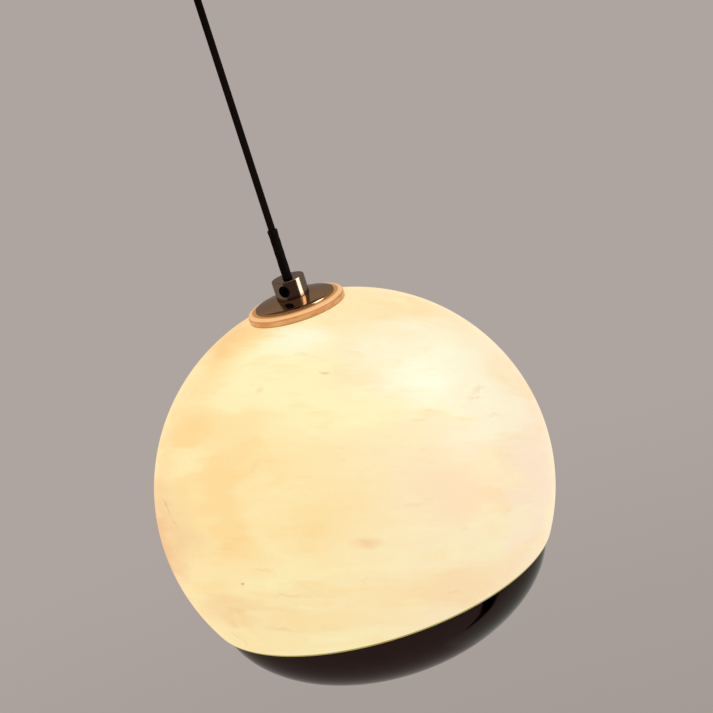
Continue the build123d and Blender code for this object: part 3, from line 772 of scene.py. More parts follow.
    def painted_lip_shade(self, tree: Tree, place: Socket, ground: Socket) -> Socket:
        """Draw the painted dim band of shade round the ground edge, next to the bowl, but not on its flat
        underside.

        Args:
            tree: The material's node tree.
            place: The point on the object, in millimetres.
            ground: The stone's colour.

        Returns:
            The colour with the lip on it.
        """
        height = add(tree, "ShaderNodeSeparateXYZ", {0: place}).outputs["Z"]
        start, risen, falling, end = (self.mouth + rise for rise in self.lip)
        above = add(tree, "ShaderNodeMapRange", {
            "Value": height, "From Min": end, "From Max": falling,
        }, interpolation_type="SMOOTHSTEP")
        below = add(tree, "ShaderNodeMapRange", {"Value": height, "From Min": start, "From Max": risen})
        band = add(tree, "ShaderNodeMath", {0: above.outputs[0], 1: below.outputs[0]}, operation="MULTIPLY")
        return add(tree, "ShaderNodeMix", {
            0: band.outputs[0], 6: ground, 7: to_linear(Tone.LIP_SHADE.value),
        }, data_type="RGBA").outputs[2]

    def shade(self, tree: Tree, place: Socket) -> dict[str, object]:
        """Build the stone: its ground colour, clouds, washes, veins and the lip's painted shade, then its
        grain.

        Args:
            tree: The material's node tree.
            place: The point on the object, in millimetres.

        Returns:
            What the inputs of the material's Principled node get.
        """
        turn = Matrix.Rotation(-radians(self.pitch), 3, "X") @ Matrix.Rotation(radians(self.lean), 3, "Y")
        stone = add(tree, "ShaderNodeMapping", {
            "Vector": place,
            "Location": (0, 0, self.centre),
            "Rotation": tuple(turn.to_euler()),
            "Scale": (self.radius,) * 3,
        }, vector_type="TEXTURE").outputs[0]
        bent = self.bent(tree, stone)
        rightward = add(tree, "ShaderNodeSeparateXYZ", {0: bent}).outputs["X"]
        colour = tinted(tree, to_linear(Tone.WARM.value), Tone.PALE.value, rightward, -0.5, 0.9)
        colour = self.laid(tree, self.clouds, bent, colour)
        colour = self.washed(tree, bent, colour)
        shiver = add(tree, "ShaderNodeTexNoise", {"Vector": stone, "Scale": 20.0, "Detail": 3.0})
        shaken = self.shifted(tree, stone, shiver, (0.045,) * 3)
        colour = self.laid(tree, self.veins, shaken, colour)
        # Painted shade: a dim band round the stone's edge at the mouth, next to the bowl
        colour = self.painted_lip_shade(tree, place, colour)
        grain = add(tree, "ShaderNodeTexNoise", {"Vector": place, "Scale": 1 / self.grain, "Detail": 3.0})
        speckle = grain.outputs["Fac"]
        colour = mottled(tree, colour, speckle, 0.985)
        polish = add(tree, "ShaderNodeMapRange", {"Value": speckle, "To Min": 0.30, "To Max": 0.42})
        relief = add(tree, "ShaderNodeBump", {"Height": speckle, "Strength": 0.10, "Distance": 0.02 * MM})
        return self.shine(tree, colour) | {
            "IOR": 1.52, "Specular IOR Level": 0.10, "Roughness": polish.outputs[0],
            "Normal": relief.outputs[0],
        }


@dataclass(frozen=True)
class LitSilicone(LitFinish):
    """Moulded translucent silicone that carries the stone's light.

    It glows deeper orange in its side. Painted light and shade lie over that: a painted highlight makes a
    pale bead round its shoulder, painted shade makes a darker line in the crease under the bead and a
    browner line at its foot, and a painted shadow of the plate's edge dulls its flat top.

    Attributes:
        top: The painted shadow of the plate's edge on its flat top, which is duller.
        bead: The colour of the painted highlight on the bead.
        line: The colour of the painted shade in the crease under the bead.
        side: The side's deeper colour.
        pale: The side's paler colour.
        foot: The colour of the painted contact shadow at its lower edge.
        radius: Its radius.
        low: The height of its lower edge.
        high: The height of its top.
        crease: How far below the top the line gives way to the bead.
        wave: How far the streaks lift the bands, in millimetres.
        inner: How far in from its edge the painted shadow on the top starts and is full.
    """

    top: str = "#B47E3C"
    bead: str = "#F6C086"
    line: str = "#C57E42"
    side: str = "#D28C52"
    pale: str = "#E0A46A"
    foot: str = "#B27A40"
    radius: float = 36.2
    low: float = -282.4
    high: float = -276.2
    crease: float = 1.5
    wave: float = 0.8
    inner: Point = (2.7, 4.0)
    glow: float = 0.72
    own_share: float = 0.3

    def shade(self, tree: Tree, place: Socket) -> dict[str, object]:
        """Build the ring: a side that varies round it, its lines of painted shade, the painted highlight on
        the bead and the painted shadow on the top.

        Args:
            tree: The material's node tree.
            place: The point on the object, in millimetres.

        Returns:
            What the inputs of the material's Principled node get.
        """
        flow = add(tree, "ShaderNodeMapping", {"Vector": place, "Scale": (1.0, 1.0, 3.0)})
        streak = add(tree, "ShaderNodeTexNoise", {
            "Vector": flow.outputs[0], "Scale": 1 / 11, "Detail": 4.0, "Distortion": 0.5,
        }).outputs["Fac"]
        colour = tinted(tree, to_linear(self.side), self.pale, streak, 0.38, 0.64)
        height = add(tree, "ShaderNodeSeparateXYZ", {0: place}).outputs["Z"]
        wavy = add(tree, "ShaderNodeMath", {
            0: streak, 1: self.wave, 2: height,
        }, operation="MULTIPLY_ADD").outputs[0]
        crease = self.high - self.crease
        # Painted shadow at the foot, painted shade in the crease and a painted highlight on the bead: each
        # band's heights, at which it starts and is full, its colour and how strong it is
        bands = (
            (self.low + 1.5, self.low + 1.0, self.foot, 0.8),
            (crease - 0.5, crease - 0.1, self.line, 0.8),
            (crease, crease + 0.7, self.bead, 1.0),
        )
        for start, end, tone, share in bands:
            colour = tinted(tree, colour, tone, wavy, start, end, share)
        start, end = (self.radius - inward for inward in self.inner)
        # Painted shadow of the plate's edge over the flat top
        colour = tinted(tree, colour, self.top, from_axis(tree, place), start, end, 0.85)
        return self.shine(tree, colour) | {
            "Roughness": 0.38, "IOR": 1.41, "Specular IOR Level": 0.25,
            "Normal": grained(tree, place, 0.6, 0.15, 0.03),
        }


@dataclass(frozen=True)
class TurnedMetal(Finish):
    """Metal turned or spun about the lamp's axis, so its fine lines run round that axis.

    Attributes:
        colour: What the metal or its plating reflects.
        roughness: How dull its polish is, from 0 to 1.
        pitch: The distance between the tool's lines in millimetres, coarser than on fine work, so that
            they show.
        depth: The height of the lines, in millimetres.
        cloudiness: How much the polish varies over larger patches.
        edge: What it reflects at a glancing angle, as a share of all the light.
    """

    colour: str
    roughness: float
    pitch: float = 0.4
    depth: float = 0.004
    cloudiness: float = 0.05
    edge: float = 1.0

    def shade(self, tree: Tree, place: Socket) -> dict[str, object]:
        """Build rings of tool lines, patches of duller polish and a few fine scratches.

        Args:
            tree: The material's node tree.
            place: The point on the object, in millimetres.

        Returns:
            What the inputs of the material's Principled node get.
        """
        height = add(tree, "ShaderNodeSeparateXYZ", {0: place}).outputs["Z"]
        section = add(tree, "ShaderNodeCombineXYZ", {"X": from_axis(tree, place), "Y": height})
        lines = add(tree, "ShaderNodeTexNoise", {
            "Vector": section.outputs[0], "Scale": 1 / self.pitch, "Detail": 2.0,
        }, noise_dimensions="2D")
        patches = add(tree, "ShaderNodeTexNoise", {
            "Vector": place, "Scale": 1 / 14, "Detail": 3.0,
        }).outputs["Fac"]
        marks = add(tree, "ShaderNodeMapping", {
            "Vector": place, "Rotation": (0.4, 0.7, 0.2), "Scale": (0.05, 1.6, 1.1),
        })
        scratches = add(tree, "ShaderNodeTexNoise", {
            "Vector": marks.outputs[0], "Scale": 1.0, "Detail": 2.0,
        })
        scuffed = add(tree, "ShaderNodeMapRange", {
            "Value": scratches.outputs["Fac"], "From Min": 0.66, "From Max": 0.74, "To Max": 0.06,
        })
        dull = add(tree, "ShaderNodeMapRange", {
            "Value": patches, "From Min": 0.3, "From Max": 0.7,
            "To Min": self.roughness - self.cloudiness, "To Max": self.roughness + self.cloudiness,
        })
        total = add(tree, "ShaderNodeMath", {0: dull.outputs[0], 1: scuffed.outputs[0]}, operation="ADD")
        relief = add(tree, "ShaderNodeBump", {
            "Height": lines.outputs["Fac"], "Strength": 0.5, "Distance": self.depth * MM,
        })
        return {
            "Base Color": mottled(tree, to_linear(self.colour), patches, 0.90), "Metallic": 1.0,
            "Roughness": total.outputs[0], "Specular Tint": (self.edge, self.edge, self.edge, 1.0),
            "Normal": relief.outputs[0],
        }


@dataclass(frozen=True)
class PlatedSteel(Finish):
    """Pressed or machined metal with a bright plating, which is a little uneven and dull.

    Attributes:
        colour: The plating's colour.
        tint: The colour that its thicker patches turn.
        roughness: How dull it is, from 0 to 1.
        mottle: The size of its patches in millimetres.
        thread: The pitch of a screw thread about the lamp's axis in millimetres, or 0 for none.
    """

    colour: str
    tint: str
    roughness: float
    mottle: float = 3.0
    thread: float = 0.0

    def shade(self, tree: Tree, place: Socket) -> dict[str, object]:
        """Build the plating's patches in colour and polish, its fine grain and its thread.

        Args:
            tree: The material's node tree.
            place: The point on the object, in millimetres.

        Returns:
            What the inputs of the material's Principled node get.
        """
        patches = add(tree, "ShaderNodeTexNoise", {
            "Vector": place, "Scale": 1 / self.mottle, "Detail": 4.0, "Distortion": 0.4,
        }).outputs["Fac"]
        colour = tinted(
            tree, to_linear(self.colour), self.tint, patches, 0.35, 0.68, growth=Growth.EVEN,
        )
        dull = add(tree, "ShaderNodeMapRange", {
            "Value": patches, "From Min": 0.3, "From Max": 0.7,
            "To Min": self.roughness - 0.07, "To Max": self.roughness + 0.08,
        })
        relief = grained(tree, place, 0.5, 0.25, 0.02)
        if self.thread:
            parts = add(tree, "ShaderNodeSeparateXYZ", {0: place})
            around = add(tree, "ShaderNodeMath", {
                0: parts.outputs["Y"], 1: parts.outputs["X"],
            }, operation="ARCTAN2").outputs[0]
            climb = add(tree, "ShaderNodeMath", {
                0: parts.outputs["Z"], 1: 2 * pi / self.thread, 2: around,
            }, operation="MULTIPLY_ADD").outputs[0]
            flank = add(tree, "ShaderNodeMath", {0: climb}, operation="SINE").outputs[0]
            relief = add(tree, "ShaderNodeBump", {
                "Height": flank, "Strength": 1.0, "Distance": 0.25 * self.thread * MM, "Normal": relief,
            }).outputs[0]
        return {"Base Color": colour, "Metallic": 1.0, "Roughness": dull.outputs[0], "Normal": relief}


@dataclass(frozen=True)
class Moulded(Finish):
    """A moulded, pressed or extruded plastic, rubber or ceramic.

    Attributes:
        colour: Its colour.
        mark: The colour of its faint specks or stripes.
        roughness: How dull it is, from 0 to 1.
        grain: The size of its surface grain in millimetres, coarser than a real one, so that it shows.
        striped: How broad its stripes are in millimetres, or 0 for none.
        glow: How much light it gives, where a lamp is on behind it.
        gloss: How strongly its surface reflects, where 0.5 is usual.
    """

    colour: str
    mark: str
    roughness: float
    grain: float = 0.8
    striped: float = 0.0
    glow: float = 0.0
    gloss: float = 0.5

    def shade(self, tree: Tree, place: Socket) -> dict[str, object]:
        """Build the specks or stripes, the grain and the gloss.

        Args:
            tree: The material's node tree.
            place: The point on the object, in millimetres.

        Returns:
            What the inputs of the material's Principled node get.
        """
        specks = add(tree, "ShaderNodeTexNoise", {
            "Vector": place, "Scale": 1 / (3 * self.grain), "Detail": 4.0,
        }).outputs["Fac"]
        # The marks' pattern, the levels at which they start and are full, and how strong they are
        marks = specks, 0.5, 0.8, 0.5
        if self.striped:
            bands = add(tree, "ShaderNodeTexWave", {
                "Vector": place, "Scale": 1 / (4 * self.striped), "Distortion": 0.0,
            }, bands_direction="DIAGONAL")
            marks = bands.outputs["Fac"], 0.56, 0.62, 1.0
        colour = tinted(tree, to_linear(self.colour), self.mark, *marks, growth=Growth.EVEN)
        dull = add(tree, "ShaderNodeMapRange", {
            "Value": specks, "From Min": 0.3, "From Max": 0.7,
            "To Min": self.roughness - 0.05, "To Max": self.roughness + 0.05,
        })
        surface = {
            "Base Color": colour, "Roughness": dull.outputs[0], "Specular IOR Level": self.gloss,
            "Normal": grained(tree, place, self.grain, 0.3, 0.02),
        }
        if self.glow:
            surface |= {"Emission Color": colour, "Emission Strength": self.glow}
        return surface


@dataclass(frozen=True)
class BraidedCord(Finish):
    """A cord in a black polyester braid: matt, with crossing strands that catch a little light.

    Attributes:
        colour: The braid's colour in its gaps.
        light: Its colour where two strands cross.
        strands: How many strands go round it each way.
        lay: The height of one strand's full turn, in millimetres.
        rise: How far the strands stand out, in millimetres.
    """

    colour: str = "#0E0805"
    light: str = "#1A100B"
    strands: int = 8
    lay: float = 14.0
    rise: float = 0.12

    def shade(self, tree: Tree, place: Socket) -> dict[str, object]:
        """Build the braid from two sets of strands that wind opposite ways round the axis.

        Args:
            tree: The material's node tree.
            place: The point on the object, in millimetres.

        Returns:
            What the inputs of the material's Principled node get.
        """
        parts = add(tree, "ShaderNodeSeparateXYZ", {0: place})
        around = add(tree, "ShaderNodeMath", {
            0: parts.outputs["Y"], 1: parts.outputs["X"],
        }, operation="ARCTAN2").outputs[0]
        waves = []
        for way in (1, -1):
            climb = add(tree, "ShaderNodeMath", {
                0: parts.outputs["Z"], 1: way * 2 * pi * self.strands / self.lay,
            }, operation="MULTIPLY").outputs[0]
            phase = add(tree, "ShaderNodeMath", {
                0: around, 1: self.strands, 2: climb,
            }, operation="MULTIPLY_ADD").outputs[0]
            waves.append(add(tree, "ShaderNodeMath", {0: phase}, operation="COSINE").outputs[0])
        crossing = add(tree, "ShaderNodeMath", {0: waves[0], 1: waves[1]}, operation="MULTIPLY")
        height = add(tree, "ShaderNodeMapRange", {
            "Value": crossing.outputs[0], "From Min": -1.0, "From Max": 1.0,
        }).outputs[0]
        colour = add(tree, "ShaderNodeMix", {
            0: height, 6: to_linear(self.colour), 7: to_linear(self.light),
        }, data_type="RGBA")
        relief = add(tree, "ShaderNodeBump", {
            "Height": height, "Strength": 0.8, "Distance": self.rise * MM,
        })
        return {
            "Base Color": colour.outputs[2], "Roughness": 0.85, "Specular IOR Level": 0.03,
            "Normal": relief.outputs[0],
        }


@dataclass(frozen=True)
class FrostedGlass(LitFinish):
    """Blown glass frosted inside, with the LEDs behind it on, so that it is bright all over.

    Attributes:
        colour: The light's colour through the frost.
    """

    colour: str = "#FFF3D8"

    def shade(self, tree: Tree, place: Socket) -> dict[str, object]:
        """Build the frost's faint unevenness and the light that comes through it.

        Args:
            tree: The material's node tree.
            place: The point on the object, in millimetres.

        Returns:
            What the inputs of the material's Principled node get.
        """
        frost = add(tree, "ShaderNodeTexNoise", {"Vector": place, "Scale": 1 / 4, "Detail": 3.0})
        colour = mottled(tree, to_linear(self.colour), frost.outputs["Fac"], 0.93)
        return self.shine(tree, colour) | {"Roughness": 0.22, "IOR": 1.50}


# Black nickel over turned brass is a warm dark mirror, with the tool's lines round the axis
BLACK_NICKEL = TurnedMetal(
    "black_nickel_turned", "#96816F", 0.10, pitch=0.5, depth=0.002, cloudiness=0.03, edge=0.6,
)
# On the flat plate the same plating has a brighter, browner colour, a painted reflection of warm light, and
# mirrors a little less sharply
BLACK_NICKEL_FLAT_PAINTED_REFLECTION = TurnedMetal(
    "black_nickel_plate", "#BE9A76", 0.14, pitch=0.5, depth=0.002, cloudiness=0.03, edge=0.55,
)
# On spun sheet it is nearly black from in front and lighter at a glancing angle, with wider tool lines
BLACK_NICKEL_SPUN = TurnedMetal(
    "black_nickel_spun", "#443635", 0.10, pitch=1.2, depth=0.003, cloudiness=0.03, edge=0.78,
)
# Black oxide on steel is a flat brown black with hardly a gleam
BLACK_OXIDE = PlatedSteel("black_oxide", "#1B1614", "#231D1A", 0.45)
# Zinc plating is a cool light grey with soft duller patches, and a rod's thread catches fine rings of light
ZINC = PlatedSteel("steel_zinc_plated", "#B9BDC2", "#9FA4A8", 0.34)
ZINC_THREADED = PlatedSteel("steel_zinc_threaded", "#B9BDC2", "#9FA4A8", 0.30, thread=1.0)
# Turned aluminium is a pale satin grey with clear rings from the tool
ALUMINIUM = TurnedMetal("aluminium_turned", "#D2D2D4", 0.30, pitch=0.5, depth=0.012)
# Machined brass is yellow and bright, with browner patches where it has been handled
BRASS = PlatedSteel("brass_machined", "#D9B36A", "#C49A55", 0.26, mottle=6.0)
# Tinned copper pins are a dull warm silver
COPPER = PlatedSteel("copper_tinned", "#CFCBC2", "#B5B0A6", 0.30)
# Fired steatite is a matt cream ceramic with a sandy grain
STEATITE = Moulded("steatite_fired", "#E9E4D6", "#CFC7B4", 0.55, grain=1.0)
# White polycarbonate is smooth, with a soft shine
LAMP_PLASTIC = Moulded("polycarbonate_white", "#EDEBE4", "#E3E0D8", 0.35)
# The white ceramic board between its LEDs is lit by them
BOARD = Moulded("led_board_ceramic", "#F4F2EC", "#E6E2D8", 0.5, glow=0.25)
# Moulded nylon has a satin skin, here nearly black or ivory
NYLON_BLACK = Moulded("nylon_black", "#1E1D1D", "#262525", 0.42)
NYLON_WHITE = Moulded("nylon_white", "#E8E6DE", "#DEDBD1", 0.42)
# Shrunk polyolefin is a rubbery brown black that hardly reflects
SLEEVE = Moulded("polyolefin_shrunk", "#0F0805", "#170F0B", 0.60, grain=2.2, gloss=0.03)
# Vinyl insulation is smooth with a soft shine, in the usual colours of live, neutral and striped earth
BROWN = Moulded("vinyl_brown", "#5E3A22", "#553319", 0.36)
BLUE = Moulded("vinyl_blue", "#2F5FA8", "#29559A", 0.36)
GREEN_YELLOW = Moulded("vinyl_green_yellow", "#3E8A3A", "#E2CB3C", 0.36, striped=2.0)
# Silicone wire is chalky white, and silicone gasket sheet is matt cream
WIRE_WHITE = Moulded("silicone_wire_white", "#E9E8E4", "#DEDCD6", 0.48)
GASKET = Moulded("silicone_white", "#E6D8BE", "#DCCBAA", 0.5)
# The seal at the mouth looks olive, because only a little warm light gets into it
SEAL = Moulded("silicone_seal", "#6E6638", "#5E5730", 0.45)


def dress(piece: Piece, body: str, *nodes: str) -> Piece:
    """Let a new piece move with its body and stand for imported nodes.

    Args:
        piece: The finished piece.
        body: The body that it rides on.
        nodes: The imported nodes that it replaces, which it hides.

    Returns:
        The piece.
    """
    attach(piece, body)
    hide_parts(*nodes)
    log.info("%s: %d faces on %s", piece.name, len(getattr(piece.data, "polygons", ())), body)
    return piece


def finish_nodes(finish: Finish, *nodes: str) -> None:
    """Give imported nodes, whose shape is right as it is, a finish.

    Args:
        finish: Their finish.
        nodes: The nodes' names.
    """
    for node in nodes:
        finish.paint(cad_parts[node])
        log.info("%s: %s", node, finish.name)


class Shown(Enum):
    """What a light does to a surface."""

    BOTH = "both"
    LIGHTING = "lighting"
    MIRRORED = "mirrored"


@dataclass
class Studio:
    """A pale room with soft light and the photograph's camera, in metres and degrees.

    Attributes:
        camera_place: Where the camera stands.
        heading: How far it is turned from straight ahead, to the right.
        tip: How far it looks up.
        roll: How far it is turned about its own axis.
        lens: Its focal length in millimetres.
        sensor: Its sensor's width in millimetres.
        clipping: The nearest and the farthest distance that it sees.
        daylight: The colour of the light from all round.
        ambient: How strong that light is.
        backdrop: The colour behind the lamp.
        dark_card: The colour of the cards in front and behind.
        low_panel: The colour of the panel low on the right.
        gap: The colour of the gap in that panel.
        floor_height: The floor's height.
        floor_radius: The floor's radius.
        floor_fade: How far from the middle the floor starts to fade, and where only the backdrop is left.
    """

    camera_place: Place = (0.0, -1.50082, 0.12674)
    heading: float = 1.165
    tip: float = -16.961
    roll: float = -17.62
    lens: float = 107.5
    sensor: float = 36.0
    clipping: Point = (0.05, 200.0)
    daylight: str = "#FFFBF6"
    ambient: float = 0.62
    backdrop: str = "#AFA5A0"
    dark_card: str = "#5B4F48"
    low_panel: str = "#A9A9A1"
    gap: str = "#000000"
    floor_height: float = -3.4
    floor_radius: float = 60.0
    floor_fade: Point = (1.5, 9.0)

    def build(self) -> None:
        """Set up the camera, the light, the cards and the floor."""
        self.add_camera()
        self.add_world()
        self.add_floor()
        lamp = Vector((0, 0, -0.4))
        self.add_light("key", Vector((-1.5, -1.9, 2.1)), lamp, (2.0, 2.0), 48.0, Shown.LIGHTING)
        self.add_light("fill", Vector((2.6, -1.2, 0.4)), lamp, (1.8, 2.4), 16.0)
        collar = Vector((0, 0, -0.27))
        self.add_light("strip", Vector((1.83, -0.82, -0.50)), collar, (0.90, 1.5), 19.0, Shown.MIRRORED)
        self.add_light("glint", Vector((1.45, -0.30, 1.0)), collar, (0.9, 1.1), 22.0, Shown.MIRRORED)
        self.add_card(
            "card_front", self.dark_card,
            (-2.6, -2.4, -2.3), (2.6, -2.4, -2.3), (2.6, -2.4, 0.6), (-2.6, -2.4, 0.6),
        )
        self.add_card(
            "card_back", self.dark_card,
            (-1.8, 0.6, 1.7), (1.8, 0.6, 1.7), (1.8, 2.4, 1.7), (-1.8, 2.4, 1.7),
        )
        self.add_card(
            "panel_low", self.low_panel,
            (0.25, -0.1, -1.62), (2.6, -0.1, -1.62), (2.6, 2.4, -1.62), (0.25, 2.4, -1.62),
        )
        self.add_card(
            "gap_low", self.gap,
            (0.44, -0.12, -1.6), (0.87, -0.12, -1.6), (1.5, -0.33, -1.6), (1.5, -0.85, -1.6),
            (0.76, -0.28, -1.6),
        )
        bpy.context.scene.view_settings.view_transform = "Standard"

    def add_camera(self) -> None:
        """Place the camera and turn it about its own axis."""
        data = bpy.data.cameras.new("camera")
        data.lens, data.sensor_width = self.lens, self.sensor
        data.clip_start, data.clip_end = self.clipping
        camera = in_scene("camera", data)
        heading, tip = radians(self.heading), radians(self.tip)
        ahead = Vector((sin(heading) * cos(tip), cos(heading) * cos(tip), sin(tip)))
        level = ahead.to_track_quat("-Z", "Y").to_matrix()
        turn = level @ Matrix.Rotation(radians(self.roll), 3, "Z")
        camera.matrix_world = Matrix.Translation(self.camera_place) @ turn.to_4x4()
        bpy.context.scene.camera = camera

    def add_world(self) -> None:
        """Make the surroundings: plain light on surfaces, and the backdrop's colour to the eye."""
        world = bpy.data.worlds.new("studio")
        tree = bare_tree(world)
        path = add(tree, "ShaderNodeLightPath")
        seen = add(tree, "ShaderNodeMath", {
            0: path.outputs["Is Camera Ray"], 1: path.outputs["Is Glossy Ray"],
        }, operation="MAXIMUM")
        shown = add(tree, "ShaderNodeMath", {
            0: seen.outputs[0], 1: path.outputs["Is Transmission Ray"],
        }, operation="MAXIMUM")
        light = add(tree, "ShaderNodeBackground", {
            "Color": to_linear(self.daylight), "Strength": self.ambient,
        })
        backdrop = add(tree, "ShaderNodeBackground", {"Color": to_linear(self.backdrop), "Strength": 1.0})
        both = add(tree, "ShaderNodeMixShader", {
            0: shown.outputs[0], 1: light.outputs[0], 2: backdrop.outputs[0],
        })
        add(tree, "ShaderNodeOutputWorld", {"Surface": both.outputs[0]})
        bpy.context.scene.world = world

    def add_floor(self) -> None:
        """Lay a pale floor that fades into the backdrop with distance."""
        reach = self.floor_radius / MM
        rings = [(reach * share, 0.0) for share in (0.0, 0.02, 0.08, 0.3, 1.0)]
        thick = [(radius, -1.0) for radius, _ in reversed(rings)]
        floor = turned("floor", rings + thick, 96, Matrix.Translation((0, 0, self.floor_height / MM)))
        material = bpy.data.materials.new("floor_pale")
        tree = bare_tree(material)
        own = add(tree, "ShaderNodeTexCoord").outputs["Object"]
        start, end = self.floor_fade
        far = add(tree, "ShaderNodeMapRange", {
            "Value": from_axis(tree, own), "From Min": start, "From Max": end, "To Min": 0.35,
        }, interpolation_type="SMOOTHSTEP")
        matt = add(tree, "ShaderNodeBsdfDiffuse", {"Color": to_linear(self.backdrop)})
        plain = add(tree, "ShaderNodeEmission", {"Color": to_linear(self.backdrop), "Strength": 1.0})
        both = add(tree, "ShaderNodeMixShader", {
            0: far.outputs[0], 1: matt.outputs[0], 2: plain.outputs[0],
        })
        add(tree, "ShaderNodeOutputMaterial", {"Surface": both.outputs[0]})
        floor.data.materials.append(material)

    def add_card(self, name: str, colour: str, *corners: Place) -> None:
        """Hang a flat card that only polished surfaces show.

        Args:
            name: The card's name.
            colour: Its colour.
            corners: Its corners in metres, in order.
        """
        shape = bmesh.new()
        shape.faces.new([shape.verts.new(Vector(corner) / MM) for corner in corners])
        card = piece_of(name, shape)
        material = bpy.data.materials.new(name)
        tree = bare_tree(material)
        plain = add(tree, "ShaderNodeEmission", {"Color": to_linear(colour), "Strength": 1.0})
        add(tree, "ShaderNodeOutputMaterial", {"Surface": plain.outputs[0]})
        card.data.materials.append(material)
        card.visible_camera = card.visible_diffuse = card.visible_shadow = False

    def add_light(
        self, name: str, place: Vector, target: Vector, size: Point, power: float, shown: Shown = Shown.BOTH
    ) -> None:
        """Hang one soft light that the camera doesn't see.

        Args:
            name: The light's name.
            place: Where it hangs.
            target: What it faces.
            size: Its width and height.
            power: Its power in watts.
            shown: Whether it lights surfaces, shows as a reflection in them or does both.
        """
        data = bpy.data.lights.new(name, "AREA")
        data.shape = "RECTANGLE"
        data.size, data.size_y = size
        data.energy = power
        light = in_scene(name, data)
        facing = (target - place).to_track_quat("-Z", "Y").to_matrix().to_4x4()
        light.matrix_world = Matrix.Translation(place) @ facing
        light.visible_camera = False
        light.visible_diffuse = shown is not Shown.MIRRORED
        light.visible_glossy = shown is not Shown.LIGHTING


@dataclass
class CordSet:
    """The taut cord with its sleeve, its stop and the ball that carries it.

    Attributes:
        cord_radius: The cord's radius.
        sleeve_wall: The sleeve's thickness where it hugs the cord.
        lip_length: The height of the sleeve's thicker top end, above which it is a plain tube.
        lip_slope: Where the slope to that end starts, as a multiple of its height.
        unevenness: How far the sleeve's side wanders.
        grooves: How far the stop's two crimped grooves are from its middle, their half width and depth.
        points: Where the cord runs, in metres.
    """

    cord_radius: float = 2.6
    sleeve_wall: float = 1.0
    lip_length: float = 2.2
    lip_slope: float = 1.6
    unevenness: float = 0.07
    grooves: Place = (1.4, 0.6, 0.35)
    points: tuple[Place, ...] = (
        (0.0, 0.0, -0.0286),
        (0.0, 0.0, -0.0600),
        (0.0, 0.0, -0.2360),
        (0.0, 0.0, -0.2658),
    )

    def build(self) -> None:
        """Make the cord and the pieces on it."""
        sleeve = self.make_sleeve()
        stop = self.make_stop()
        ball = self.make_ball()
        self.make_cord()

    def make_cord(self) -> None:
        """Make the cord itself, one smooth line from the ball down to the stop.
        """
        data = bpy.data.curves.new("suspension_cord_braid", "CURVE")
        data.dimensions = "3D"
        data.bevel_depth = self.cord_radius * MM
        data.bevel_resolution = 10
        data.use_fill_caps = True
        data.resolution_u = 24
        line = data.splines.new("NURBS")
        line.points.add(len(self.points) - 1)
        for point, place in zip(line.points, self.points):
            point.co = (*place, 1.0)
        line.order_u = 3
        line.use_endpoint_u = True
        cord = in_scene(data.name, data)
        data.materials.append(BraidedCord("polyester_braid_black").material())
        dress(cord, "cord", "suspension_cord")

    def make_sleeve(self) -> Piece:
        """Make the shrunk sleeve, a little uneven along its length, with a thicker top end.

        Returns:
            The sleeve.
        """
        size = extent("cord_sleeve")
        outer = self.cord_radius + self.sleeve_wall
        rows = 28
        side = []
        for row in range(rows + 1):
            share = row / rows
            height = size.low + (size.high - self.lip_length * self.lip_slope - size.low) * share
            # The unevenness is a wave that gets shorter towards the top
            side.append((outer - self.unevenness * (1 + sin(9 * share + 14 * share ** 2)), height))
        profile = [
            (self.cord_radius, size.low), *side,
            (size.radius, size.high - self.lip_length), (size.radius, size.high),
            (self.cord_radius, size.high),
        ]
        sleeve = turned("cord_sleeve_shrunk", softened(profile, 0.3), 48)
        return dress(SLEEVE.paint(sleeve), "cord", "cord_sleeve")

    def make_stop(self) -> Piece:
        """Make the crimped stop, with the two grooves that the crimping tool leaves.

        Returns:
            The stop.
        """
        size = extent("cord_stop")
        middle = (size.low + size.high) / 2
        apart, half, depth = self.grooves
        grooves = []
        for centre in (middle - apart, middle + apart):
            grooves += [
                (size.radius, centre - half), (size.radius - depth, centre), (size.radius, centre + half),
            ]
        profile = [
            (self.cord_radius, size.low), (size.radius, size.low), *grooves,
            (size.radius, size.high), (self.cord_radius, size.high),
        ]
        stop = turned("cord_stop_crimped", softened(profile, 0.35), 64)
        return dress(BRASS.paint(stop), "cord", "cord_stop")

    def make_ball(self) -> Piece:
        """Make the ball, bored for the cord.

        Returns:
            The ball.
        """
        size = extent("ball_ferrule")
        middle = (size.low + size.high) / 2
        # The angle at which the ball's side meets the bore
        opening = degrees(asin(sqrt(1 - (self.cord_radius / size.radius) ** 2)))
        profile = arc((0, middle), size.radius, size.radius, -opening, opening, 40)
        ball = turned("ball_ferrule_turned", softened(profile, 0.3), 64)
        return dress(BRASS.paint(ball), "cord", "ball_ferrule")


